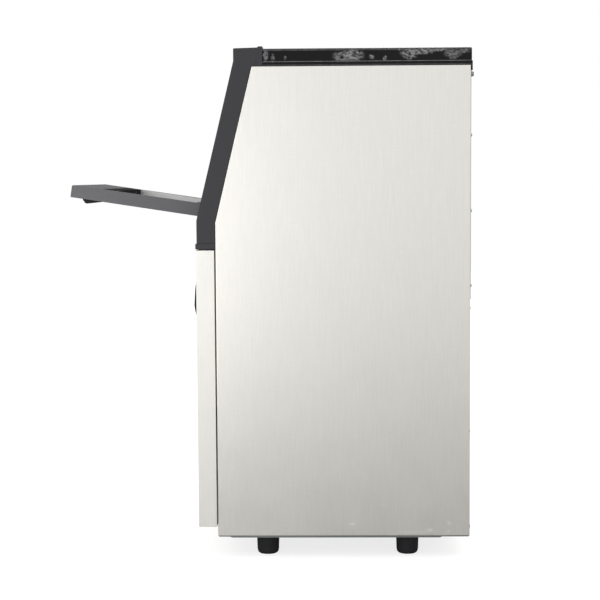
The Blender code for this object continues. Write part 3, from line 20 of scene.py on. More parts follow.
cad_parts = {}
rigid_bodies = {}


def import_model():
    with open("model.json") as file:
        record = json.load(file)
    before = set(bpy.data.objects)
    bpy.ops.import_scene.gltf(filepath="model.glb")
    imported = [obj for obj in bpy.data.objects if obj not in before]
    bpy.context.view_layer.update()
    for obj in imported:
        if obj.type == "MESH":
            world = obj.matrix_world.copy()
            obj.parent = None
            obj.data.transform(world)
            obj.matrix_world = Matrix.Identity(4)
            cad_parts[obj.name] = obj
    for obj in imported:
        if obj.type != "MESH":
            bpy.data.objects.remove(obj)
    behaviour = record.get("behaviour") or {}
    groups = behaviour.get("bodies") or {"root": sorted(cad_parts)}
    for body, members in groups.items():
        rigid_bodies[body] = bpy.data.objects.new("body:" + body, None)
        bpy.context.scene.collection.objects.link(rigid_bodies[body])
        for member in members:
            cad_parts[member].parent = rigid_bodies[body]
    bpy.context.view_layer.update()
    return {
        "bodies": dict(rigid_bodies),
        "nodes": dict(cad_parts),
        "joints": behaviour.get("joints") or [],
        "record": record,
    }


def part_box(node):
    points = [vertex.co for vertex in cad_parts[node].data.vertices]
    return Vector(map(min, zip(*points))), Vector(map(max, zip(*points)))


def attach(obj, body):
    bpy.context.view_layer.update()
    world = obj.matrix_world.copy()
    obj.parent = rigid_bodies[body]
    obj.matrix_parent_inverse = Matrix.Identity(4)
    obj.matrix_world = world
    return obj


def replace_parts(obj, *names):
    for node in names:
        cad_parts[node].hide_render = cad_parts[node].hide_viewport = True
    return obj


MM = 0.001
LOG = logging.getLogger("ice_machine")
SAME_PLACE = 0.01 * MM  # places nearer to each other than this count as one
PANEL_REAR = 0.3093  # Y of the side panels' rear edge in metres
RIGHT_SIDE = (0.18, 0.188)  # X between which patches set in, so that only the right side has them
PATCH_EDGE = (1.15, 0.55)  # where a patch ends and where it is whole, in shares of its half size
EDGE_GRAIN_MM = 3.5  # size of the noise that frays a patch's edge
CORNERS = ("front_left", "front_right", "rear_left", "rear_right")


class Look(Enum):
    """Finishes of the machine, each with the record's material slot that it belongs to."""

    STEEL = ("satin sheet", "stainless_steel")
    FRONT_STEEL = ("front sheet", "stainless_steel")
    LINER_STEEL = ("drawn liner", "stainless_steel")
    DARK = ("frame moulding", "dark_plastic")
    DOOR_DARK = ("door moulding", "dark_plastic")
    GLOSS = ("lid", "black_gloss")
    PLAIN_GLOSS = ("control pod", "black_gloss")
    WINDOW = ("smoked window", "black_gloss")
    RUBBER = ("rubber", "black_rubber")
    SEAL = ("seal", "black_rubber")
    WHITE = ("white moulding", "white_plastic")
    FOAM = ("foam", "foam")
    NICKEL = ("nickel plate", "nickel")
    COPPER = ("copper tube", "copper")
    ENAMEL = ("enamel", "black_enamel")
    ALUMINIUM = ("aluminium", "aluminium")
    ZINC = ("zinc sheet", "galvanised")
    HOSE = ("hose", "clear_tube")

    @property
    def slot(self) -> str:
        """The record's slot."""
        return self.value[1]


Palette = dict[Look, Material]


def linear(hex_colour: str) -> tuple[float, float, float, float]:
    """Turn an sRGB hex colour into linear light.

    Args:
        hex_colour: Six hex digits.

    Returns:
        Linear red, green, blue and an alpha of one.
    """
    parts = [int(hex_colour[i:i + 2], 16) / 255 for i in (0, 2, 4)]
    bent = [((c + 0.055) / 1.055) ** 2.4 if c > 0.04045 else c / 12.92 for c in parts]
    return (bent[0], bent[1], bent[2], 1.0)


def add_node(tree: NodeTree, kind: str, inputs: dict | None = None, **settings) -> Node:
    """Add one node with its settings, values and links.

    Args:
        tree: The node tree.
        kind: The node's type name.
        inputs: Socket name or index to a value, or to an output socket to link from.
        settings: Attributes of the node.

    Returns:
        The new node.
    """
    node = tree.nodes.new(kind)
    for key, value in settings.items():
        setattr(node, key, value)
    for key, value in (inputs or {}).items():
        socket = node.inputs[key]
        if isinstance(value, NodeSocket):
            tree.links.new(value, socket)
        else:
            socket.default_value = value
    return node


@dataclass(frozen=True)
class Finish:
    """A surface finish with fine grain, uneven gloss and slight mottling.

    Args:
        name: The material's name.
        colour: Its sRGB hex colour.
        roughness: Mean roughness.
        metallic: One for bare metal.
        grain_mm: Size of the fine relief, drawn no finer than shows.
        grain_depth: Depth of the relief in millimetres.
        stretch: How the grain is stretched along each axis.
        mottle: Share by which the colour wanders.
        unevenness: Share by which the roughness wanders.
        coat: Weight of a clear coat.
        specular: Specular level.
        edge_roughness: Roughness at a glancing view, where moulded texture looks matt.
        cloud_mm: Size of the mottling's patches.
        gloss_mm: Size of the gloss's patches.
        facing: Blend of the slant to the eye, which the edge roughness follows.
        glance: Slants at which the edge roughness sets in and is whole.
    """

    name: str
    colour: str
    roughness: float
    metallic: float = 0.0
    grain_mm: float = 0.6
    grain_depth: float = 0.03
    stretch: tuple[float, float, float] = (1.0, 1.0, 1.0)
    mottle: float = 0.06
    unevenness: float = 0.15
    coat: float = 0.0
    specular: float = 0.5
    edge_roughness: float = 0.0
    cloud_mm: float = 45
    gloss_mm: float = 18
    facing: float = 0.35
    glance: tuple[float, float] = (0.25, 0.8)

    def colour_socket(self, tree: NodeTree, place: NodeSocket) -> NodeSocket:
        """Mottle the colour with a slow noise.

        Args:
            tree: The material's node tree.
            place: Object coordinates.

        Returns:
            The colour output.
        """
        base = linear(self.colour)
        dark = tuple(c * (1.0 - self.mottle) for c in base[:3]) + (1.0,)
        noise = add_node(tree, "ShaderNodeTexNoise", {
            "Vector": place, "Scale": 1 / (self.cloud_mm * MM), "Detail": 4.0})
        mix = add_node(tree, "ShaderNodeMix", {
            "Factor": noise.outputs["Fac"], "A": base, "B": dark}, data_type="RGBA")
        return mix.outputs["Result"]

    def roughness_socket(self, tree: NodeTree, place: NodeSocket) -> NodeSocket:
        """Let the gloss wander about its mean.

        Args:
            tree: The material's node tree.
            place: Object coordinates.

        Returns:
            The roughness output.
        """
        noise = add_node(tree, "ShaderNodeTexNoise", {
            "Vector": place, "Scale": 1 / (self.gloss_mm * MM), "Detail": 3.0})
        low = self.roughness * (1 - self.unevenness)
        high = self.roughness * (1 + self.unevenness)
        spread = add_node(tree, "ShaderNodeMapRange", {
            "Value": noise.outputs["Fac"], "To Min": low, "To Max": high})
        if not self.edge_roughness:
            return spread.outputs["Result"]
        start, whole = self.glance
        slant = add_node(tree, "ShaderNodeLayerWeight", {"Blend": self.facing})
        turned = add_node(tree, "ShaderNodeMapRange", {
            "Value": slant.outputs["Facing"], "From Min": start, "From Max": whole})
        mix = add_node(tree, "ShaderNodeMix", {
            "Factor": turned.outputs["Result"], "A": spread.outputs["Result"],
            "B": self.edge_roughness})
        return mix.outputs["Result"]

    def relief_socket(self, tree: NodeTree, place: NodeSocket) -> NodeSocket:
        """Raise the fine grain as bump.

        Args:
            tree: The material's node tree.
            place: Object coordinates.

        Returns:
            The bumped normal.
        """
        drawn = add_node(tree, "ShaderNodeMapping", {"Vector": place, "Scale": self.stretch})
        noise = add_node(tree, "ShaderNodeTexNoise", {
            "Vector": drawn.outputs["Vector"], "Scale": 1 / (self.grain_mm * MM), "Detail": 2.0})
        bump = add_node(tree, "ShaderNodeBump", {
            "Height": noise.outputs["Fac"], "Distance": self.grain_depth * MM, "Strength": 1.0})
        return bump.outputs["Normal"]

    def build(self) -> Material:
        """Make the material.

        Returns:
            The finished material.
        """
        material = bpy.data.materials.new(self.name)
        material.use_nodes = True
        tree = material.node_tree
        shader = tree.nodes["Principled BSDF"]
        place = add_node(tree, "ShaderNodeTexCoord").outputs["Object"]
        shader.inputs["Metallic"].default_value = self.metallic
        shader.inputs["Coat Weight"].default_value = self.coat
        shader.inputs["Specular IOR Level"].default_value = self.specular
        tree.links.new(self.colour_socket(tree, place), shader.inputs["Base Color"])
        tree.links.new(self.roughness_socket(tree, place), shader.inputs["Roughness"])
        tree.links.new(self.relief_socket(tree, place), shader.inputs["Normal"])
        return material


@dataclass(frozen=True)
class Smear:
    """A soft patch on a side face, from the rear edge and the floor.

    Args:
        ahead_mm: Distance of its middle in front of the rear edge.
        height_mm: Height of its middle above the floor.
        long_mm: Half its length along the machine.
        tall_mm: Half its height.
        strength: How much of it shows, from nought to one.
    """

    ahead_mm: float
    height_mm: float
    long_mm: float
    tall_mm: float
    strength: float


def patch_mask(
    tree: NodeTree, place: NodeSocket, smears: Sequence[Smear], ragged_mm: float
) -> NodeSocket:
    """Merge soft patches on the machine's right side into one mask.

    Args:
        tree: The material's node tree.
        place: Object coordinates.
        smears: The patches.
        ragged_mm: How far the patches' edges wander.

    Returns:
        The mask, from nought to one.
    """
    noise = add_node(tree, "ShaderNodeTexNoise", {
        "Vector": place, "Scale": 1 / (EDGE_GRAIN_MM * MM), "Detail": 4.0})
    centred = add_node(tree, "ShaderNodeVectorMath", {
        0: noise.outputs["Color"], 1: (0.5, 0.5, 0.5)}, operation="SUBTRACT")
    wander = add_node(tree, "ShaderNodeVectorMath", {
        0: centred.outputs["Vector"], "Scale": 2 * ragged_mm * MM}, operation="SCALE")
    moved = add_node(tree, "ShaderNodeVectorMath", {
        0: place, 1: wander.outputs["Vector"]}, operation="ADD")
    total: NodeSocket | None = None
    for smear in smears:
        middle = (0.0, PANEL_REAR - smear.ahead_mm * MM, smear.height_mm * MM)
        share = (0.0, 1 / (smear.long_mm * MM), 1 / (smear.tall_mm * MM))
        offset = add_node(tree, "ShaderNodeVectorMath", {
            0: moved.outputs["Vector"], 1: middle}, operation="SUBTRACT")
        scaled = add_node(tree, "ShaderNodeVectorMath", {
            0: offset.outputs["Vector"], 1: share}, operation="MULTIPLY")
        reach = add_node(tree, "ShaderNodeVectorMath", {
            0: scaled.outputs["Vector"]}, operation="LENGTH")
        soft = add_node(tree, "ShaderNodeMapRange", {
            "Value": reach.outputs["Value"], "From Min": PATCH_EDGE[0], "From Max": PATCH_EDGE[1],
            "To Min": 0.0, "To Max": smear.strength}, interpolation_type="SMOOTHSTEP")
        if total is None:
            total = soft.outputs["Result"]
        else:
            either = add_node(tree, "ShaderNodeMath", {
                0: total, 1: soft.outputs["Result"]}, operation="MAXIMUM")
            total = either.outputs[0]
    if total is None:
        raise ValueError("a mask needs at least one patch")
    across = add_node(tree, "ShaderNodeSeparateXYZ", {0: place}).outputs["X"]
    side = add_node(tree, "ShaderNodeMapRange", {
        "Value": across, "From Min": RIGHT_SIDE[0], "From Max": RIGHT_SIDE[1]})
    mask = add_node(tree, "ShaderNodeMath", {
        0: total, 1: side.outputs["Result"]}, operation="MULTIPLY")
    return mask.outputs[0]


@dataclass(frozen=True)
class SatinSteel:
    """Satin stainless sheet: a fine upright grain, handling smudges and a few pale specks.

    Args:
        name: The material's name.
        colour: Its sRGB hex colour.
        roughness: Mean roughness.
        grain_mm: Width of the grain lines, drawn coarser than real so that they show.
        smears: Pale smudges from handling.
        smudge: Colour of the smudges.
        smudge_metal: How metallic a smudge looks.
        unevenness: Share by which the roughness wanders.
        grain_depth: Depth of the grain in millimetres.
        upright: How the main grain is stretched along each axis.
        level: How the cross grain is stretched.
        cross: Width of the cross grain beside the main grain's, and its weight.
        levels: Heights of the woven grain at its valleys and its ridges.
        darkest: Share of the colour that is left in the valleys.
        cloud_mm: Size of the gloss's patches.
        ragged_mm: How far the smudges' edges wander.
    """

    name: str = "satin_stainless_sheet"
    colour: str = "E6E4DF"
    roughness: float = 0.37
    grain_mm: float = 0.9
    smears: tuple[Smear, ...] = ()
    smudge: str = "F6F5F1"
    smudge_metal: float = 0.35
    unevenness: float = 0.15
    grain_depth: float = 0.012
    upright: tuple[float, float, float] = (1.0, 1.0, 0.03)
    level: tuple[float, float, float] = (0.06, 0.06, 1.0)
    cross: tuple[float, float] = (1.4, 0.35)
    levels: tuple[float, float] = (0.35, 1.0)
    darkest: float = 0.9
    cloud_mm: float = 60
    ragged_mm: float = 3.0

    def build(self) -> Material:
        """Make the material.

        Returns:
            The finished material.
        """
        material = bpy.data.materials.new(self.name)
        material.use_nodes = True
        tree = material.node_tree
        shader = tree.nodes["Principled BSDF"]
        place = add_node(tree, "ShaderNodeTexCoord").outputs["Object"]
        mask = patch_mask(tree, place, self.smears, self.ragged_mm)
        width, weight = self.cross
        upright = add_node(tree, "ShaderNodeMapping", {"Vector": place, "Scale": self.upright})
        level = add_node(tree, "ShaderNodeMapping", {"Vector": place, "Scale": self.level})
        lines = add_node(tree, "ShaderNodeTexNoise", {
            "Vector": upright.outputs["Vector"], "Scale": 1 / (self.grain_mm * MM), "Detail": 3.0})
        cross = add_node(tree, "ShaderNodeTexNoise", {
            "Vector": level.outputs["Vector"], "Scale": 1 / (width * self.grain_mm * MM),
            "Detail": 2.0})
        weave = add_node(tree, "ShaderNodeMath", {
            0: cross.outputs["Fac"], 1: weight, 2: lines.outputs["Fac"]}, operation="MULTIPLY_ADD")
        base = linear(self.colour)
        dark = tuple(c * self.darkest for c in base[:3]) + (1.0,)
        tint = add_node(tree, "ShaderNodeMapRange", {
            "Value": weave.outputs[0], "From Min": self.levels[0], "From Max": self.levels[1],
            "To Min": 1.0, "To Max": 0.0})
        sheet = add_node(tree, "ShaderNodeMix", {
            "Factor": tint.outputs["Result"], "A": base, "B": dark}, data_type="RGBA")
        smudged = add_node(tree, "ShaderNodeMix", {
            "Factor": mask, "A": sheet.outputs["Result"], "B": linear(self.smudge)},
            data_type="RGBA")
        metal = add_node(tree, "ShaderNodeMapRange", {
            "Value": mask, "To Min": 1.0, "To Max": self.smudge_metal})
        cloud = add_node(tree, "ShaderNodeTexNoise", {
            "Vector": place, "Scale": 1 / (self.cloud_mm * MM), "Detail": 4.0})
        low = self.roughness * (1 - self.unevenness)
        high = self.roughness * (1 + self.unevenness)
        gloss = add_node(tree, "ShaderNodeMapRange", {
            "Value": cloud.outputs["Fac"], "To Min": low, "To Max": high})
        bump = add_node(tree, "ShaderNodeBump", {
            "Height": weave.outputs[0], "Distance": self.grain_depth * MM, "Strength": 1.0})
        tree.links.new(smudged.outputs["Result"], shader.inputs["Base Color"])
        tree.links.new(metal.outputs["Result"], shader.inputs["Metallic"])
        tree.links.new(gloss.outputs["Result"], shader.inputs["Roughness"])
        tree.links.new(bump.outputs["Normal"], shader.inputs["Normal"])
        return material


@dataclass(frozen=True)
class FilmedGloss:
    """Glossy black moulding under scraps of its shipping film, with painted reflections in grey
    bands.

    Args:
        name: The material's name.
        colour: Its sRGB hex colour.
        film: Colour of the clouded film, also given to the painted reflection bands.
        roughness: Roughness of the clean gloss.
        specular: Specular level.
        smears: Scraps of film.
        painted_sheen_bands: Lowest and highest height of the grey bands in millimetres, painted
            reflections on the lid's top edge, step and lower lip, and how much of them shows.
        fold_mm: Size of the uneven patches in the painted reflection bands.
        sheen_spread: Least and most that is left of a painted reflection band.
        ragged_mm: How far the scraps' edges wander.
        scrap_mm: Size of the tears in a scrap.
        torn: Levels of their noise between which the film sets in.
        film_relief: Height of the film in millimetres, and how much of it shows.
        film_roughness: Roughness of the film.
    """

    name: str = "gloss_black_abs_with_film_and_painted_sheen"
    colour: str = "121214"
    film: str = "8A8A8B"
    roughness: float = 0.12
    specular: float = 0.14
    smears: tuple[Smear, ...] = ()
    painted_sheen_bands: tuple[tuple[float, float, float], ...] = ()
    fold_mm: float = 9
    sheen_spread: tuple[float, float] = (0.6, 1.3)
    ragged_mm: float = 4.0
    scrap_mm: float = 3.2
    torn: tuple[float, float] = (0.4, 0.56)
    film_relief: tuple[float, float] = (0.12, 0.6)
    film_roughness: float = 0.55

    def add_painted_sheen(self, tree: NodeTree, place: NodeSocket, start: NodeSocket) -> NodeSocket:
        """Add the painted reflections along the lid, grey bands at its top edge, step and lower
        lip, to a mask.

        Args:
            tree: The material's node tree.
            place: Object coordinates.
            start: The mask of the scraps.

        Returns:
            The whole mask.
        """
        height = add_node(tree, "ShaderNodeSeparateXYZ", {0: place}).outputs["Z"]
        broken = add_node(tree, "ShaderNodeMapping", {"Vector": place, "Scale": (1.0, 1.0, 0.2)})
        noise = add_node(tree, "ShaderNodeTexNoise", {
            "Vector": broken.outputs["Vector"], "Scale": 1 / (self.fold_mm * MM), "Detail": 4.0})
        least, most = self.sheen_spread
        uneven = add_node(tree, "ShaderNodeMapRange", {
            "Value": noise.outputs["Fac"], "From Min": 0.3, "From Max": 0.7, "To Min": least,
            "To Max": most})
        total = start
        # Each band is a painted reflection: grey where the lid's top edge, step and lower lip catch
        # light.
        for low, high, strength in self.painted_sheen_bands:
            middle, half = (low + high) / 2 * MM, (high - low) / 2 * MM
            inside = add_node(tree, "ShaderNodeMath", {
                0: height, 1: middle, 2: half}, operation="COMPARE")
            patchy_sheen = add_node(tree, "ShaderNodeMath", {
                0: inside.outputs[0], 1: uneven.outputs["Result"]}, operation="MULTIPLY")
            part = add_node(tree, "ShaderNodeMath", {
                0: patchy_sheen.outputs[0], 1: strength}, operation="MULTIPLY")
            either = add_node(tree, "ShaderNodeMath", {
                0: total, 1: part.outputs[0]}, operation="MAXIMUM")
            total = either.outputs[0]
        return total

    def build(self) -> Material:
        """Make the material.

        Returns:
            The finished material.
        """
        material = bpy.data.materials.new(self.name)
        material.use_nodes = True
        tree = material.node_tree
        shader = tree.nodes["Principled BSDF"]
        shader.inputs["Specular IOR Level"].default_value = self.specular
        place = add_node(tree, "ShaderNodeTexCoord").outputs["Object"]
        mask = patch_mask(tree, place, self.smears, self.ragged_mm)
        streak = add_node(tree, "ShaderNodeMapping", {"Vector": place, "Scale": (1.0, 0.5, 1.0)})
        torn = add_node(tree, "ShaderNodeTexNoise", {
            "Vector": streak.outputs["Vector"], "Scale": 1 / (self.scrap_mm * MM), "Detail": 5.0,
            "Roughness": 0.7})
        scraps = add_node(tree, "ShaderNodeMapRange", {
            "Value": torn.outputs["Fac"], "From Min": self.torn[0], "From Max": self.torn[1]})
        patches = add_node(tree, "ShaderNodeMath", {
            0: mask, 1: scraps.outputs["Result"]}, operation="MULTIPLY")
        film_and_sheen = self.add_painted_sheen(tree, place, patches.outputs[0])
        colour = add_node(tree, "ShaderNodeMix", {
            "Factor": film_and_sheen, "A": linear(self.colour), "B": linear(self.film)}, data_type="RGBA")
        gloss = add_node(tree, "ShaderNodeMapRange", {
            "Value": film_and_sheen, "To Min": self.roughness, "To Max": self.film_roughness})
        height, strength = self.film_relief
        bump = add_node(tree, "ShaderNodeBump", {
            "Height": patches.outputs[0], "Distance": height * MM, "Strength": strength})
        tree.links.new(colour.outputs["Result"], shader.inputs["Base Color"])
        tree.links.new(gloss.outputs["Result"], shader.inputs["Roughness"])
        tree.links.new(bump.outputs["Normal"], shader.inputs["Normal"])
        return material


def palette() -> Palette:
    """Make one material for each look.

    Returns:
        The materials by look.
    """
    handling = (
        Smear(184.8, 55.1, 6, 3, 0.4), Smear(32.4, 57.0, 4, 3, 0.35),
        Smear(33.0, 43.0, 4, 2, 0.4), Smear(62.2, 45.3, 5, 3, 0.4),
        Smear(136.0, 85.3, 10, 2, 0.15), Smear(90.0, 42.0, 30, 3, 0.14),
    )
    film = (
        Smear(199.0, 784.6, 13, 9, 0.7), Smear(183.0, 785.6, 20, 10, 1.0),
        Smear(151.6, 782.8, 5, 4, 0.8), Smear(132.0, 781.0, 3, 4, 0.8),
        Smear(94.0, 788.0, 14, 9, 1.0), Smear(78.0, 791.5, 22, 5, 1.0),
        Smear(56.0, 793.5, 24, 3, 0.8), Smear(28.0, 787.0, 13, 8, 0.7),
        Smear(10.0, 792.0, 12, 4, 0.6), Smear(315.0, 787.0, 4, 10, 0.7),
        Smear(304.0, 782.0, 3, 7, 0.5), Smear(285.2, 782.4, 3, 4, 0.6),
        Smear(110.0, 794.0, 3, 2, 0.9),
    )
    finishes = {
        # Satin-ground stainless: its grain, drawn coarser than real, gives a soft sheen without a
        # mirror image, and pale specks near the floor where it was handled.
        Look.STEEL: SatinSteel(smears=handling),
        # The same sheet, a little duller and painted a shade lighter, so that the front panel's
        # flank
        # shows pale and flat: the lighter colour is painted light.
        Look.FRONT_STEEL: SatinSteel(
            "satin_stainless_front", "E9E8E3", 0.5, smears=(Smear(408, 70, 8, 30, 0.1),)),
        # Deep-drawn stainless: without the ground grain it gives a blurred image of what is near.
        Look.LINER_STEEL: Finish(
            "drawn_stainless_liner", "CBCBCA", 0.34, 1.0, grain_mm=1.0, mottle=0.1),
        # Foam rubber: it gives back hardly any light, and reads as a black line.
        Look.SEAL: Finish(
            "matt_black_foam_rubber", "0F0F10", 0.9, grain_mm=0.8, grain_depth=0.05, specular=0.05),
        # Fine-textured ABS, its texture drawn coarser than real: a dull sheen seen square on, matt
        # at a glancing view.
        Look.DARK: Finish(
            "moulded_grey_abs", "353538", 0.36, grain_mm=0.7, grain_depth=0.02, specular=0.28,
            edge_roughness=0.95),
        # The frame's textured ABS, painted a lighter grey on the door: painted light, which parts
        # the door from the frame.
        Look.DOOR_DARK: Finish(
            "moulded_grey_abs_painted_lighter", "59595D", 0.3, grain_mm=0.7, grain_depth=0.02, specular=0.4,
            edge_roughness=0.95),
        # Polished black ABS under clouded shipping film: dull grey scraps on a dark mirror. The
        # scraps are drawn coarser than real. Grey bands along the top edge, the step and the lower
        # lip are painted reflections.
        Look.GLOSS: FilmedGloss(
            smears=film, painted_sheen_bands=((768.0, 772.4, 0.2), (776.3, 777.5, 0.55), (793.4, 796.8, 0.26))),
        # Bare polished ABS: a dark mirror, which the moulding's slow waves bend a little.
        Look.PLAIN_GLOSS: Finish(
            "gloss_black_abs", "121214", 0.14, grain_mm=3.0, grain_depth=0.01, specular=0.3),
        # Smoked acrylic: flatter than the moulding round it, so its reflections are sharper.
        Look.WINDOW: Finish(
            "smoked_acrylic", "08090A", 0.05, grain_mm=6.0, grain_depth=0.004, specular=0.5),
        # Moulded nitrile rubber: broad, weak highlights on dark grey.
        Look.RUBBER: Finish(
            "moulded_nitrile_rubber", "242427", 0.6, grain_mm=0.8, grain_depth=0.04, specular=0.25,
            edge_roughness=1.0),
        # Moulded polystyrene: an eggshell sheen, which keeps the wet parts bright and clean.
        Look.WHITE: Finish(
            "moulded_white_polystyrene", "EBECE9", 0.38, grain_mm=1.2, grain_depth=0.015),
        # Poured polyurethane foam: yellowish and shineless, its pores drawn coarser than real.
        Look.FOAM: Finish(
            "poured_polyurethane_foam", "E3D9B4", 0.9, grain_mm=1.6, grain_depth=0.35, mottle=0.18),
        # Nickel on copper: a warm grey metal, whose soft reflections pick out the cells.
        Look.NICKEL: Finish("nickel_plated_copper", "C9C8C2", 0.28, 1.0, grain_mm=1.0, mottle=0.12),
        # Drawn copper: a warm metal with tarnished clouds, drawn larger than real.
        Look.COPPER: Finish(
            "drawn_copper_tube", "B9714A", 0.32, 1.0, grain_mm=1.5, mottle=0.22, unevenness=0.3),
        # Stoved enamel: a clear skin over black. Its orange peel, drawn coarser, breaks highlights.
        Look.ENAMEL: Finish(
            "black_stoved_enamel", "1A1A1C", 0.3, grain_mm=2.0, grain_depth=0.04, coat=0.3),
        # Rolled aluminium: a pale metal with upright rolling lines, drawn coarser than real.
        Look.ALUMINIUM: Finish(
            "rolled_aluminium", "BABCBE", 0.36, 1.0, grain_mm=0.8, stretch=(1.0, 1.0, 0.1)),
        # Galvanised sheet: dull grey metal with uneven patches of gloss, drawn larger than real.
        Look.ZINC: Finish(
            "galvanised_sheet", "9A9D9F", 0.42, 1.0, grain_mm=6.0, mottle=0.25, unevenness=0.3),
        # Milky PVC: a pale tube with the gloss of its clear skin.
        Look.HOSE: Finish("milky_pvc_hose", "DCE3E4", 0.25, grain_mm=2.0, coat=0.2),
    }
    return {look: finish.build() for look, finish in finishes.items()}


def deselect() -> None:
    """Select nothing."""
    for other in bpy.context.selected_objects:
        other.select_set(False)


def only(piece: Object) -> None:
    """Select one piece and make it active."""
    deselect()
    piece.select_set(True)
    bpy.context.view_layer.objects.active = piece


def edit(piece: Object, kind: str = "FACE") -> None:
    """Open one piece in edit mode with nothing selected.

    Args:
        piece: The mesh object.
        kind: Which elements are selected, VERT, EDGE or FACE.
    """
    only(piece)
    bpy.ops.object.mode_set(mode="EDIT")
    bpy.ops.mesh.select_mode(type=kind)
    bpy.ops.mesh.select_all(action="DESELECT")


def choose(piece: Object, kind: str, test: Callable[..., bool]) -> None:
    """Select the elements that pass a test, in edit mode.

    Args:
        piece: The mesh object in edit mode.
        kind: EDGE or FACE.
        test: What an element has to pass.
    """
    bpy.ops.mesh.select_mode(type=kind)
    bpy.ops.mesh.select_all(action="DESELECT")
    shape = bmesh.from_edit_mesh(piece.data)
    group = {"EDGE": shape.edges, "FACE": shape.faces}[kind]
    for item in [item for item in group if test(item)]:
        item.select_set(True)
    bmesh.update_edit_mesh(piece.data)


def done() -> None:
    """Leave edit mode."""
    bpy.ops.object.mode_set(mode="OBJECT")


def lies_at(edge: bmesh.types.BMEdge, axis: int, place: float) -> bool:
    """Tell whether an edge lies in the plane that crosses an axis at a place in metres."""
    return all(abs(vert.co[axis] - place) < SAME_PLACE for vert in edge.verts)


def round_edges(piece: Object, width_mm: float, test: Callable[[bmesh.types.BMEdge], bool]) -> None:
    """Round the edges that pass a test.

    Args:
        piece: The mesh object.
        width_mm: Width of the rounding.
        test: What an edge has to pass.
    """
    edit(piece)
    choose(piece, "EDGE", test)
    bpy.ops.mesh.bevel(offset=width_mm * MM, segments=4, affect="EDGES")
    done()


def apply_modifier(piece: Object, kind: str, **settings) -> None:
    """Add one modifier to a piece and apply it.

    Args:
        piece: The mesh object.
        kind: The modifier's type.
        settings: Its attributes.
    """
    only(piece)
    modifier = piece.modifiers.new(kind.lower(), kind)
    for key, value in settings.items():
        setattr(modifier, key, value)
    bpy.ops.object.modifier_apply(modifier=modifier.name)


def soften(piece: Object, width_mm: float, segments: int = 2, angle: float = 32.0) -> None:
    """Round the sharp edges of a piece and smooth its shading.

    Args:
        piece: The mesh object.
        width_mm: Width of the rounding.
        segments: Its steps.
        angle: Least angle of a sharp edge in degrees.
    """
    if width_mm > 0:
        apply_modifier(
            piece, "BEVEL", width=width_mm * MM, segments=segments, limit_method="ANGLE",
            angle_limit=math.radians(angle), use_clamp_overlap=True, miter_outer="MITER_ARC")
    only(piece)
    bpy.ops.object.shade_smooth_by_angle(angle=math.radians(angle))
    apply_modifier(piece, "WEIGHTED_NORMAL", mode="FACE_AREA", weight=100, keep_sharp=True)


def cut(piece: Object, tool: Object, operation: str = "DIFFERENCE") -> None:
    """Join or cut a piece with another, which is used up.

    Args:
        piece: The mesh object to change.
        tool: The mesh object to cut or join with.
        operation: DIFFERENCE or UNION.
    """
    apply_modifier(piece, "BOOLEAN", object=tool, operation=operation, solver="EXACT")
    bpy.data.objects.remove(tool, do_unlink=True)


def block(low: Sequence[float], high: Sequence[float]) -> Object:
    """Add a box at its size and place, for a cut or to be shaped.

    Args:
        low: Its low corner in millimetres.
        high: Its high corner in millimetres.

    Returns:
        The box.
    """
    deselect()
    middle = [(a + b) / 2 * MM for a, b in zip(low, high)]
    span = [(b - a) * MM for a, b in zip(low, high)]
    bpy.ops.mesh.primitive_cube_add(size=1.0, location=middle, scale=span)
    piece = bpy.context.active_object
    only(piece)
    bpy.ops.object.transform_apply(location=True, rotation=True, scale=True)
    return piece


def cylinder(
    centre: Sequence[float], radius: float, depth: float, axis: str = "Y", steps: int = 32
) -> Object:
    """Add a cylinder at its size and place, to be shaped.

    Args:
        centre: Its middle in millimetres.
        radius: Its radius in millimetres.
        depth: Its length in millimetres.
        axis: The way it runs, X, Y or Z.
        steps: Sides of its circle.

    Returns:
        The cylinder.
    """
    deselect()
    turn = {"X": (0.0, math.pi / 2, 0.0), "Y": (math.pi / 2, 0.0, 0.0), "Z": (0.0, 0.0, 0.0)}[axis]
    bpy.ops.mesh.primitive_cylinder_add(
        vertices=steps, radius=radius * MM, depth=depth * MM,
        location=[value * MM for value in centre], rotation=turn)
    piece = bpy.context.active_object
    only(piece)
    bpy.ops.object.transform_apply(location=True, rotation=True, scale=True)
    return piece


def twin(master: Object, shift: Sequence[float]) -> Object:
    """Copy a piece with a mesh of its own.

    Args:
        master: The piece to copy.
        shift: How far the copy stands from it, in millimetres.

    Returns:
        The copy.
    """
    only(master)
    bpy.ops.object.duplicate(linked=False)
    piece = bpy.context.active_object
    piece.location = Vector(piece.location) + Vector(shift) * MM
    only(piece)
    bpy.ops.object.transform_apply(location=True, rotation=True, scale=True)
    return piece


def cross_recess(piece: Object, centre: Sequence[float], reach: float, depth: float) -> None:
    """Cut the crossed driver slots into a screw's head, which faces the rear.

    Args:
        piece: The screw.
        centre: Middle of the head's outer face in millimetres.
        reach: Half the length of a slot.
        depth: Depth of the slots.
    """
    x, y, z = centre
    wide = reach / 4
    cut(piece, block((x - reach, y - depth, z - wide), (x + reach, y + 1, z + wide)))
    cut(piece, block((x - wide, y - depth, z - reach), (x + wide, y + 1, z + reach)))


def settle(
    piece: Object,
    name: str,
    body: str,
    look: Look,
    materials: Palette,
) -> Object:
    """Name a finished piece, dress it, and hand it to its body.

    Args:
        piece: The finished mesh object.
        name: Its name.
        body: The body it rides.
        look: Its finish.
        materials: The palette.

    Returns:
        The piece.
    """
    only(piece)
    bpy.ops.object.transform_apply(location=True, rotation=True, scale=True)
    piece.name = name
    piece.data.name = name
    piece.data.materials.clear()
    piece.data.materials.append(materials[look])
    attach(piece, body)
    LOG.info("%s: %d faces on %s", name, len(piece.data.polygons), body)
    return piece


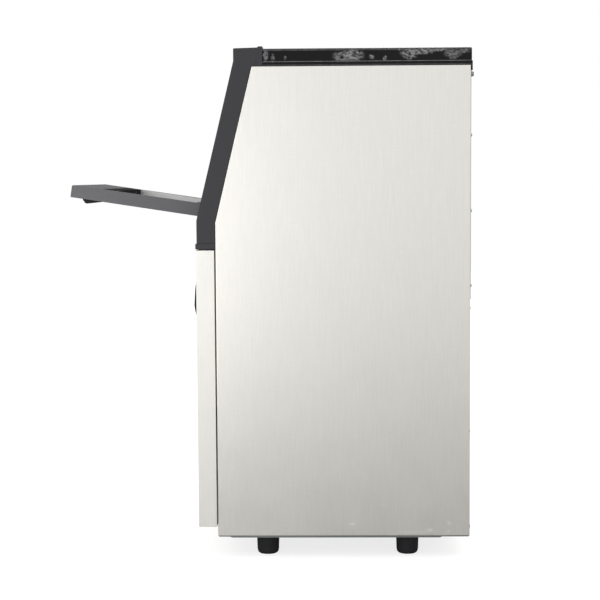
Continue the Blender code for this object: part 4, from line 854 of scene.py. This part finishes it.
@dataclass(frozen=True)
class Round:
    """How one solid of the frame is finished.

    Args:
        node: The node's name.
        look: Its finish.
        width_mm: Width of its rounded edges.
        segments: Steps of the rounding.
        angle: Least angle of an edge that is rounded.
        body: The body it rides.
    """

    node: str
    look: Look
    width_mm: float = 0.5
    segments: int = 2
    angle: float = 32.0
    body: str = "cabinet"

    def copy(self, frame: dict) -> Object:
        """Copy the solid and merge its loose triangles.


        Returns:
            The merged copy.
        """
        mesh = frame["nodes"][self.node].data.copy()
        piece = bpy.data.objects.new(self.node + "_dressed", mesh)
        bpy.context.scene.collection.objects.link(piece)
        edit(piece, "VERT")
        bpy.ops.mesh.select_all(action="SELECT")
        bpy.ops.mesh.remove_doubles(threshold=0.004 * MM)
        bpy.ops.mesh.dissolve_limited(angle_limit=math.radians(0.4))
        bpy.ops.mesh.select_all(action="SELECT")
        bpy.ops.mesh.quads_convert_to_tris(quad_method="BEAUTY", ngon_method="BEAUTY")
        done()
        return piece

    def finish(
        self, piece: Object, materials: Palette
    ) -> Object:
        """Round, dress and settle the copy in its node's place.

        Args:
            piece: The merged copy.
            materials: The palette.

        Returns:
            The finished piece.
        """
        soften(piece, self.width_mm, self.segments, self.angle)
        settle(piece, self.node + "_dressed", self.body, self.look, materials)
        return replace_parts(piece, self.node)

    def build(self, frame: dict, materials: Palette) -> Object:
        """Copy and finish the solid as it is."""
        return self.finish(self.copy(frame), materials)


@dataclass
class Assembly:
    """A group of solids finished together.

    Args:
        materials: The palette.
        rounds: How its plain solids are finished.
    """

    frame: dict
    materials: Palette
    rounds: tuple[Round, ...] = ()

    def build(self) -> list[Object]:
        """Finish every solid of the group."""
        return [step.build(self.frame, self.materials) for step in self.rounds]


@dataclass
class SidePanels(Assembly):
    """The two satin side panels with their folded edges.

    Args:
        fold_mm: Outer radius of the folds.
        fold_angle: Least angle of a fold in degrees.
        dimple: Y and Z of the locating dimple near the rear edge.
        dimple_radius: Its radius.
        sides: Nodes of the panels and the way each faces.
    """

    fold_mm: float = 1.4
    fold_angle: float = 30
    dimple: tuple[float, float] = (305.0, 365.6)
    dimple_radius: float = 1.0
    sides: tuple[tuple[str, int], ...] = (("side_panel_left", -1), ("side_panel_right", 1))

    def build(self) -> list[Object]:
        """Fold the outer edges of both panels.

        Returns:
            The finished pieces.
        """
        pieces = []
        for node, way in self.sides:
            step = Round(node, Look.STEEL, 0.0)
            piece = step.copy(self.frame)
            low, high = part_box(node)
            face = high.x if way > 0 else low.x
            round_edges(piece, self.fold_mm, lambda edge, face=face: self.is_fold(edge, face))
            spot = (face / MM, *self.dimple)
            cut(piece, cylinder(spot, self.dimple_radius, 1.0, axis="X", steps=20))
            pieces.append(step.finish(piece, self.materials))
        return pieces

    def is_fold(self, edge: bmesh.types.BMEdge, face: float) -> bool:
        """Tell whether an edge is a fold at the outer face."""
        sharp = edge.calc_face_angle(0.0) > math.radians(self.fold_angle)
        return sharp and lies_at(edge, 0, face) and len(edge.link_faces) == 2


@dataclass
class FrontFrame(Assembly):
    """The dark moulded frame round the bin's mouth, and the sill under it.

    Args:
        joint: Y, lowest and highest Z of the moulding's joint line beside the brow.
        joint_side: X between which the line is cut into each side.
        joint_half: Half the line's width.
        cap: Low and high corner of the sill's right end cap.
    """

    joint: tuple[float, float, float] = (-20.5, 757.0, 781.0)
    joint_side: tuple[float, float] = (192.5, 194.0)
    joint_half: float = 0.3
    cap: tuple[tuple[float, float, float], tuple[float, float, float]] = (
        (187.6, -113.6, 488.6), (193.0, -86.8, 495.4))

    def build(self) -> list[Object]:
        """Cut the joint lines into the frame, and close the sill's ends.

        Returns:
            The finished pieces.
        """
        frame_step = Round("front_frame", Look.DARK, 1.0, 3)
        moulding = frame_step.copy(self.frame)
        y, low, high = self.joint
        for way in (-1, 1):
            near, far = sorted(way * x for x in self.joint_side)
            cut(moulding, block((near, y - self.joint_half, low), (far, y + self.joint_half, high)))
        sill_step = Round("sill_trim", Look.DARK, 0.6)
        sill = sill_step.copy(self.frame)
        (near, front, bottom), (far, back, top) = self.cap
        cut(sill, block((near, front, bottom), (far, back, top)), operation="UNION")
        cut(sill, block((-far, front, bottom), (-near, back, top)), operation="UNION")
        return [frame_step.finish(moulding, self.materials), sill_step.finish(sill, self.materials)]


@dataclass
class TopCover(Assembly):
    """The glossy lid with its stepped lip."""

    rounds: tuple[Round, ...] = (Round("top_cover", Look.GLOSS, 0.9, 3),)


@dataclass
class Door(Assembly):
    """The flip-down door with its liner, dark strip and grip.

    Args:
        hinge: Y and Z of the hinge.
        opened: How far the door is turned down at rest, in degrees.
        seal: Low and high corner of the black strip on the liner's far wall, with the door upright
            and the hinge at zero.
        lip: Width and drop of the strip's lip.
        flange: Y between which the strip's flange lies on the liner's rim.
        flange_end: Height that the flange reaches.
    """

    rounds: tuple[Round, ...] = (
        Round("door_frame", Look.DOOR_DARK, 0.9, 3, body="door"),
        Round("door_liner", Look.LINER_STEEL, 0.3, body="door"),
        Round("door_strip", Look.SEAL, 0.4, body="door"),
        Round("door_grip", Look.RUBBER, 2.4, 4, body="door"),
    )
    hinge: tuple[float, float] = (-100.847, 547.9)
    opened: float = 81.34
    seal: tuple[tuple[float, float, float], tuple[float, float, float]] = (
        (-148.4, -1.0, 147.0), (148.4, 9.7, 147.9))
    lip: tuple[float, float] = (1.6, 0.7)
    flange: tuple[float, float] = (9.5, 9.9)
    flange_end: float = 152.2

    def build(self) -> list[Object]:
        """Finish the door's solids, and lay the black strip into the liner."""
        return [*super().build(), self.liner_black_strip()]

    def liner_black_strip(self) -> Object:
        """Shape the black strip along the recess's far wall, with its flange on the rim.

        Returns:
            The strip, turned with the opened door.
        """
        low, high = self.seal
        inset, drop = self.lip
        under, over = self.flange
        piece = block(low, high)
        edit(piece)
        choose(piece, "FACE", lambda face: face.normal.z < -0.9)
        bpy.ops.mesh.inset(thickness=inset * MM)
        bpy.ops.mesh.extrude_region_move(TRANSFORM_OT_translate={"value": (0.0, 0.0, -drop * MM)})
        done()
        rim = block((low[0], under, low[2]), (high[0], over, self.flange_end))
        cut(piece, rim, operation="UNION")
        soften(piece, 0.12, 2)
        y, z = self.hinge
        piece.matrix_world = Matrix.Translation((0.0, y * MM, z * MM)) @ Matrix.Rotation(
            math.radians(self.opened), 4, "X")
        return settle(piece, "liner_black_strip", "door", Look.SEAL, self.materials)


@dataclass
class FrontPanel(Assembly):
    """The louvred steel front."""

    rounds: tuple[Round, ...] = (Round("front_panel", Look.FRONT_STEEL, 0.25),)


@dataclass
class Controls(Assembly):
    """The glossy control pod with its window, lamps and buttons.

    Args:
        back: Y of the pod's back.
        belly: Heights, and the share of the plain wedge's depth that the pod keeps there.
        lenses: X of the status lamps.
        lens_height: Their height.
        lens: Radius and height of a lamp.
        lens_root: How deep a lamp stands in the pod.
        dome: Rounding of a lamp's top.
        collar: Outer and inner radius and height of a button's collar.
        collar_root: How deep a collar stands in the pod.
        buttons: X of the buttons.
        button_height: Their height.
        wedge: How proud the plain wedge stands at its foot, how much less at its top, the foot's
            height and the face's rise.
        ray_start: Y in metres from which a small piece's place on the face is looked for.
    """

    rounds: tuple[Round, ...] = (
        Round("control_housing", Look.PLAIN_GLOSS, 0.8, 3),
        Round("display_window", Look.WINDOW, 0.2),
        *(Round(f"button_{key}", Look.DARK, 0.3, body=f"push_{key}") for key in (1, 2, 3, 4)),
    )
    back: float = -117.1
    belly: tuple[tuple[float, float], ...] = (
        (367.3, 0.24), (370.0, 0.41), (376.0, 0.546), (385.0, 0.64), (395.0, 0.7), (403.0, 0.775),
        (410.0, 0.85), (417.0, 0.945), (424.0, 1.045), (430.0, 1.13), (438.0, 1.27), (445.0, 1.4),
        (449.0, 1.25), (452.0, 1.0),
    )
    lenses: tuple[float, ...] = (-52.0, 52.0)
    lens_height: float = 433.5
    lens: tuple[float, float] = (1.5, 1.4)
    lens_root: float = 0.5
    dome: float = 0.8
    collar: tuple[float, float, float] = (8.4, 6.6, 0.7)
    collar_root: float = 0.25
    buttons: tuple[float, ...] = (-39.0, -13.0, 13.0, 39.0)
    button_height: float = 410.2
    wedge: tuple[float, float, float, float] = (20.5, 17.5, 392.0, 60.0)
    ray_start: float = -0.25

    def build(self) -> list[Object]:
        """Finish the pod's solids, and add its lamps and the buttons' collars.

        Returns:
            The finished pieces.
        """
        pieces = []
        for step in self.rounds:
            piece = step.copy(self.frame)
            if step.body == "cabinet":
                self.reshape(piece)
            else:
                piece.data.transform(Matrix.Translation((0.0, self.sunk(self.button_height), 0.0)))
            pieces.append(step.finish(piece, self.materials))
        pod = pieces[0]
        extras = (
            ("status_lamp", self.lamp, self.lenses, self.lens_height, Look.WHITE),
            ("button_collar", self.ring, self.buttons, self.button_height, Look.DARK),
        )
        for name, shape, places, height, look in extras:
            for number, x in enumerate(places, 1):
                pieces.append(self.seat(shape(), pod, (x, height), f"{name}_{number}", look))
        return pieces

    def ratio(self, height_mm: float) -> float:
        """Tell how the wedge's depth changes at a height.

        Args:
            height_mm: The height in millimetres.

        Returns:
            The new depth as a share of the old one.
        """
        if height_mm <= self.belly[0][0]:
            return self.belly[0][1]
        for (low, start), (high, end) in zip(self.belly, self.belly[1:]):
            if height_mm <= high:
                return start + (end - start) * (height_mm - low) / (high - low)
        return self.belly[-1][1]

    def sunk(self, height_mm: float) -> float:
        """Tell how far the reshaped face stands behind the wedge's at a height, in metres."""
        proud, taper, foot, rise = self.wedge
        depth = proud - taper * (height_mm - foot) / rise
        return depth * (1 - self.ratio(height_mm)) * MM

    def reshape(self, piece: Object) -> None:
        """Draw the wedge's flat face out into the pod's shallow rounded belly.

        Args:
            piece: The pod or its window, changed in place.
        """
        edit(piece, "VERT")
        for level, _ in self.belly:
            bpy.ops.mesh.select_all(action="SELECT")
            bpy.ops.mesh.bisect(plane_co=(0.0, 0.0, level * MM), plane_no=(0.0, 0.0, 1.0))
        done()
        for vert in piece.data.vertices:
            depth = vert.co.y - self.back * MM
            vert.co.y = self.back * MM + depth * self.ratio(vert.co.z / MM)

    def lamp(self) -> Object:
        """Shape one domed lamp, standing on the floor of its own axes.

        Returns:
            The lamp.
        """
        radius, height = self.lens
        middle = (0.0, 0.0, height / 2 - self.lens_root)
        piece = cylinder(middle, radius, height, axis="Z", steps=24)
        top = (height - self.lens_root) * MM
        round_edges(piece, self.dome, lambda edge: lies_at(edge, 2, top))
        soften(piece, 0.0)
        return piece

    def ring(self) -> Object:
        """Shape one raised collar, which stands round a button.

        Returns:
            The collar.
        """
        outer, inner, height = self.collar
        middle = (0.0, 0.0, height / 2 - self.collar_root)
        piece = cylinder(middle, outer, height, axis="Z", steps=40)
        cut(piece, cylinder((0.0, 0.0, 0.0), inner, 4.0, axis="Z", steps=40))
        soften(piece, 0.2, 2)
        return piece

    def seat(
        self, piece: Object, pod: Object, place: tuple[float, float], name: str,
        look: Look,
    ) -> Object:
        """Stand a small piece on the pod's sloping face.

        Args:
            piece: The piece, shaped round the origin with its top at +Z.
            pod: The pod.
            place: Its place across the pod and its height, in millimetres.
            name: Its name.
            look: Its finish.

        Returns:
            The finished piece.
        """
        x, z = place
        start = Vector((x * MM, self.ray_start, z * MM))
        found, spot, normal, _ = pod.ray_cast(start, Vector((0.0, 1.0, 0.0)))
        if not found:
            raise ValueError(f"{name} has no face under it")
        turn = normal.to_track_quat("Z", "Y").to_matrix().to_4x4()
        piece.matrix_world = Matrix.Translation(spot) @ turn
        return settle(piece, name, "cabinet", look, self.materials)


@dataclass
class Footing(Assembly):
    """The base tray and its four rubber feet."""

    rounds: tuple[Round, ...] = (
        Round("base_pan", Look.ZINC, 0.25),
        *(Round(f"foot_{corner}", Look.RUBBER, 0.8) for corner in CORNERS),
    )


@dataclass
class IceMaker(Assembly):
    """The bin's liner and all that makes the ice above it."""

    rounds: tuple[Round, ...] = (
        Round("bin_liner", Look.WHITE, 1.2, 3),
        Round("bin_sensor", Look.WHITE, 0.8),
        Round("foam_jacket", Look.FOAM, 0.0),
        Round("evaporator_frame", Look.WHITE, 0.8),
        Round("evaporator_plate", Look.NICKEL, 0.25),
        Round("evaporator_coil", Look.COPPER, 0.0, angle=50),
        Round("spray_tube", Look.WHITE, 0.3, angle=40),
        Round("water_curtain", Look.WHITE, 0.5, body="curtain"),
        Round("water_trough", Look.WHITE, 1.0, 3),
        Round("water_pump", Look.ENAMEL, 0.5),
        Round("pump_hose", Look.HOSE, 0.0, angle=50),
        Round("float_stem", Look.WHITE, 0.3, angle=40),
        Round("float", Look.WHITE, 1.2, 3, body="float_ring"),
    )


@dataclass
class Compartment(Assembly):
    """The machine compartment under the bin."""

    rounds: tuple[Round, ...] = (
        Round("compressor", Look.ENAMEL, 0.6),
        Round("condenser", Look.ALUMINIUM, 0.15, 1),
        Round("fan_shroud", Look.ENAMEL, 0.6),
        Round("fan_blade", Look.DARK, 0.3, body="fan"),
        Round("fan_motor", Look.ZINC, 0.6),
        Round("motor_bracket", Look.ZINC, 0.25),
        Round("filter_drier", Look.COPPER, 0.4, angle=40),
        Round("discharge_pipe", Look.COPPER, 0.0, angle=50),
        Round("liquid_pipe", Look.COPPER, 0.0, angle=50),
        Round("suction_pipe", Look.COPPER, 0.0, angle=50),
        Round("electrical_box", Look.ZINC, 0.5),
        Round("inlet_valve", Look.WHITE, 0.5),
        Round("drain_hose", Look.HOSE, 0.0, angle=50),
        Round("drain_fitting", Look.WHITE, 0.4),
        Round("cord_gland", Look.RUBBER, 0.4),
        *(Round(f"grommet_{corner}", Look.RUBBER, 0.5) for corner in CORNERS),
        Round("lower_rear_panel", Look.ZINC, 0.25),
        Round("upper_rear_panel", Look.ZINC, 0.25),
        Round("hinge_pin_left", Look.ALUMINIUM, 0.4),
        Round("hinge_pin_right", Look.ALUMINIUM, 0.4),
    )


@dataclass
class Fasteners(Assembly):
    """Pan-head screws of the lid and of the rear panels.

    Args:
        lid_screws: Nodes of the lid's screws.
        rim_mm: Rounding of their heads.
        recess: Half length and depth of their driver slots.
        head: Radius and height of a panel screw's head.
        head_rim_mm: Rounding of its head.
        head_recess: Half length and depth of its driver slots.
        rim_angle: Least angle of a head's rim, in radians.
        upper: Places of the upper rear panel's screws, on its outer face.
        lower: Places of the lower rear panel's screws, on its outer face.
    """

    lid_screws: tuple[str, ...] = ("cover_screw_left", "cover_screw_right")
    rim_mm: float = 1.5
    recess: tuple[float, float] = (2.5, 1.4)
    head: tuple[float, float] = (2.8, 2.4)
    head_rim_mm: float = 1.0
    head_recess: tuple[float, float] = (1.6, 1.0)
    rim_angle: float = 0.5
    upper: tuple[tuple[float, float, float], ...] = tuple(
        (x, 310.4, z) for x in (-178.0, 178.0) for z in (430.0, 546.8, 663.6))
    lower: tuple[tuple[float, float, float], ...] = tuple(
        (x, 309.3, z) for x in (-173.0, 173.0) for z in (47.0, 200.0, 394.0))

    def build(self) -> list[Object]:
        """Shape the lid's screws, and make the panels' screws from one."""
        return [*(self.lid_screw(node) for node in self.lid_screws), *self.panel_screws()]

    def lid_screw(self, node: str) -> Object:
        """Round one lid screw's head and cut its recess.

        Args:
            node: The screw's node.

        Returns:
            The finished screw.
        """
        step = Round(node, Look.ZINC, 0.12, 2)
        piece = step.copy(self.frame)
        low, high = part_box(node)
        self.round_rim(piece, high.y, self.rim_mm)
        middle = ((low + high) / 2) / MM
        cross_recess(piece, (middle.x, high.y / MM, middle.z), *self.recess)
        return step.finish(piece, self.materials)

    def round_rim(self, piece: Object, face: float, width_mm: float) -> None:
        """Round the outer rim of a head.

        Args:
            piece: The screw.
            face: Y of its outer face in metres.
            width_mm: Width of the rounding.
        """
        round_edges(piece, width_mm, lambda edge: (
            edge.calc_face_angle(0.0) > self.rim_angle and lies_at(edge, 1, face)))

    def panel_screws(self) -> list[Object]:
        """Shape one panel screw, and set a copy at each place.

        Returns:
            The finished screws.
        """
        radius, height = self.head
        places = (*self.upper, *self.lower)
        x, y, z = places[0]
        first = cylinder((x, y + height / 2, z), radius, height, steps=28)
        self.round_rim(first, (y + height) * MM, self.head_rim_mm)
        cross_recess(first, (x, y + height, z), *self.head_recess)
        soften(first, 0.08, 2)
        screws = [first, *(twin(first, (a - x, b - y, c - z)) for a, b, c in places[1:])]
        return [
            settle(screw, f"panel_screw_{number}", "cabinet", Look.NICKEL, self.materials)
            for number, screw in enumerate(screws, 1)
        ]


@dataclass(frozen=True)
class Softbox:
    """A square studio lamp.

    Args:
        name: The lamp's name.
        place: Where it stands, in metres.
        target: What it points at.
        size: Its width and height.
        watts: Its power.
    """

    name: str
    place: tuple[float, float, float]
    target: tuple[float, float, float]
    size: tuple[float, float]
    watts: float

    def build(self) -> None:
        """Hang the lamp."""
        data = bpy.data.lights.new(self.name, "AREA")
        data.shape = "RECTANGLE"
        data.size, data.size_y = self.size
        data.energy = self.watts
        lamp = bpy.data.objects.new(self.name, data)
        bpy.context.scene.collection.objects.link(lamp)
        lamp.location = self.place
        aim = Vector(self.target) - Vector(self.place)
        lamp.rotation_euler = aim.to_track_quat("-Z", "Y").to_euler()
        lamp.visible_camera = False


@dataclass
class Studio:
    """Camera, pale floor, backdrop light and softboxes.

    Args:
        place: The camera's place.
        yaw: Its turn about Z from a view along -X.
        pitch: How far it looks down.
        roll: Its turn about the view.
        lens_mm: Focal length on a 36 mm sensor.
        sky: Strength of the room's light.
        low_sky: Strength of the room's light from below the horizon.
        horizon: Heights of the look between which the low light gives way to the room's.
        floor: The floor's sRGB colour.
        floor_size: Its width in metres.
        floor_drop: How far it lies under the feet, in metres.
        floor_roughness: Its roughness.
        floor_specular: Its specular level.
        floor_lift: What lifts the floor to white for the camera.
        far_gloss: How brightly the far floor glows for metal and glass, a painted glow in their
            reflections.
        shade: Distances between which that lift sets in.
        shade_middle: The point on the floor that they are measured from.
        lamps: The softboxes.
    """

    place: tuple[float, float, float] = (2.52149, 0.09576, 0.59812)
    yaw: float = 1.253
    pitch: float = 4.637
    roll: float = 0.361
    lens_mm: float = 90.09
    sky: float = 1.03
    low_sky: float = 1.0
    horizon: tuple[float, float] = (-0.05, 0.25)
    floor: str = "A2A2A0"
    floor_size: float = 14.0
    floor_drop: float = 0.0005
    floor_roughness: float = 0.9
    floor_specular: float = 0.1
    floor_lift: float = 0.78
    far_gloss: float = 0.5
    shade: tuple[float, float] = (0.45, 2.3)
    shade_middle: tuple[float, float, float] = (0.7, 0.6, 0.0)
    lamps: tuple[Softbox, ...] = (
        Softbox("side_softbox", (2.4, -1.0, 0.42), (0.19, -0.1, 0.36), (0.8, 0.8), 8.2),
        Softbox("key_softbox", (1.6, -2.2, 2.2), (0.0, 0.0, 0.5), (1.3, 1.3), 16),
        Softbox("back_softbox", (-2.2, 0.8, 2.0), (0.0, 0.1, 0.4), (1.4, 1.4), 16),
    )

    def camera(self) -> None:
        """Stand the camera where the photograph was taken."""
        ahead, right, up = Vector((-1, 0, 0)), Vector((0, 1, 0)), Vector((0, 0, 1))
        turn = Matrix.Rotation(math.radians(self.yaw), 3, "Z")
        ahead, right, up = turn @ ahead, turn @ right, turn @ up
        tip = Matrix.Rotation(-math.radians(self.pitch), 3, right)
        ahead, up = tip @ ahead, tip @ up
        bank = Matrix.Rotation(math.radians(self.roll), 3, ahead)
        right, up = bank @ right, bank @ up
        data = bpy.data.cameras.new("camera")
        data.lens = self.lens_mm
        data.sensor_width = 36.0
        camera = bpy.data.objects.new("camera", data)
        bpy.context.scene.collection.objects.link(camera)
        columns = Matrix((right, up, -ahead)).transposed()
        camera.matrix_world = Matrix.Translation(self.place) @ columns.to_4x4()
        bpy.context.scene.camera = camera

    def world(self) -> None:
        """Light the room evenly, and show it white to the camera."""
        world = bpy.data.worlds.new("studio")
        bpy.context.scene.world = world
        world.use_nodes = True
        tree = world.node_tree
        tree.nodes.clear()
        path = add_node(tree, "ShaderNodeLightPath")
        place = add_node(tree, "ShaderNodeTexCoord")
        height = add_node(tree, "ShaderNodeSeparateXYZ", {0: place.outputs["Generated"]})
        room = add_node(tree, "ShaderNodeMapRange", {
            "Value": height.outputs["Z"], "From Min": self.horizon[0], "From Max": self.horizon[1],
            "To Min": self.low_sky, "To Max": self.sky}, interpolation_type="SMOOTHSTEP")
        strength = add_node(tree, "ShaderNodeMix", {
            "Factor": path.outputs["Is Camera Ray"], "A": room.outputs["Result"], "B": 1.0})
        light = add_node(tree, "ShaderNodeBackground", {
            "Color": (1.0, 1.0, 1.0, 1.0), "Strength": strength.outputs["Result"]})
        add_node(tree, "ShaderNodeOutputWorld", {"Surface": light.outputs["Background"]})

    def ground(self) -> None:
        """Lay the pale floor, which keeps the machine's shadow."""
        deselect()
        place = (0.0, 0.0, -self.floor_drop)
        bpy.ops.mesh.primitive_plane_add(size=self.floor_size, location=place)
        floor = bpy.context.active_object
        floor.name = "studio_floor"
        # Matt paint without any grain, which keeps the soft shadow under the machine. It also
        # glows:
        # white to the camera, and to metal and glass more the further it lies from a point off the
        # machine's right rear. This painted glow leaves the steel's lower part darker, most towards
        # the rear.
        material = bpy.data.materials.new("painted_floor")
        material.use_nodes = True
        tree = material.node_tree
        shader = tree.nodes["Principled BSDF"]
        shader.inputs["Base Color"].default_value = linear(self.floor)
        shader.inputs["Roughness"].default_value = self.floor_roughness
        shader.inputs["Specular IOR Level"].default_value = self.floor_specular
        path = add_node(tree, "ShaderNodeLightPath")
        seen = add_node(tree, "ShaderNodeMath", {
            0: path.outputs["Is Glossy Ray"], 1: path.outputs["Is Transmission Ray"]},
            operation="MAXIMUM")
        place = add_node(tree, "ShaderNodeTexCoord").outputs["Object"]
        # Painted glow for reflections: none near the machine, growing with distance from a point
        # off its right rear.
        from_middle = add_node(tree, "ShaderNodeVectorMath", {
            0: place, 1: self.shade_middle}, operation="SUBTRACT")
        away = add_node(tree, "ShaderNodeVectorMath", {
            0: from_middle.outputs["Vector"]}, operation="LENGTH")
        reflected_glow = add_node(tree, "ShaderNodeMapRange", {
            "Value": away.outputs["Value"], "From Min": self.shade[0], "From Max": self.shade[1],
            "To Min": 0.0, "To Max": self.far_gloss})
        gloss = add_node(tree, "ShaderNodeMath", {
            0: seen.outputs[0], 1: reflected_glow.outputs["Result"]}, operation="MULTIPLY")
        strength = add_node(tree, "ShaderNodeMath", {
            0: path.outputs["Is Camera Ray"], 1: self.floor_lift, 2: gloss.outputs[0]},
            operation="MULTIPLY_ADD")
        shader.inputs["Emission Color"].default_value = (1.0, 1.0, 1.0, 1.0)
        tree.links.new(strength.outputs[0], shader.inputs["Emission Strength"])
        floor.data.materials.append(material)

    def build(self) -> None:
        """Set up the camera, the room, the floor and the lamps."""
        self.camera()
        self.world()
        self.ground()
        for lamp in self.lamps:
            lamp.build()
        bpy.context.scene.view_settings.view_transform = "Standard"


def main() -> None:
    """Dress the machine in its studio."""
    logging.basicConfig(level=logging.INFO, format="%(message)s")
    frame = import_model()
    materials = palette()
    Studio().build()
    groups = (
        SidePanels, FrontFrame, TopCover, Door, FrontPanel, Controls, Footing, IceMaker,
        Compartment, Fasteners,
    )
    for group in groups:
        pieces = group(frame, materials).build()
        LOG.info("%s: %d pieces", group.__name__, len(pieces))


if __name__ == "__main__":
    main()
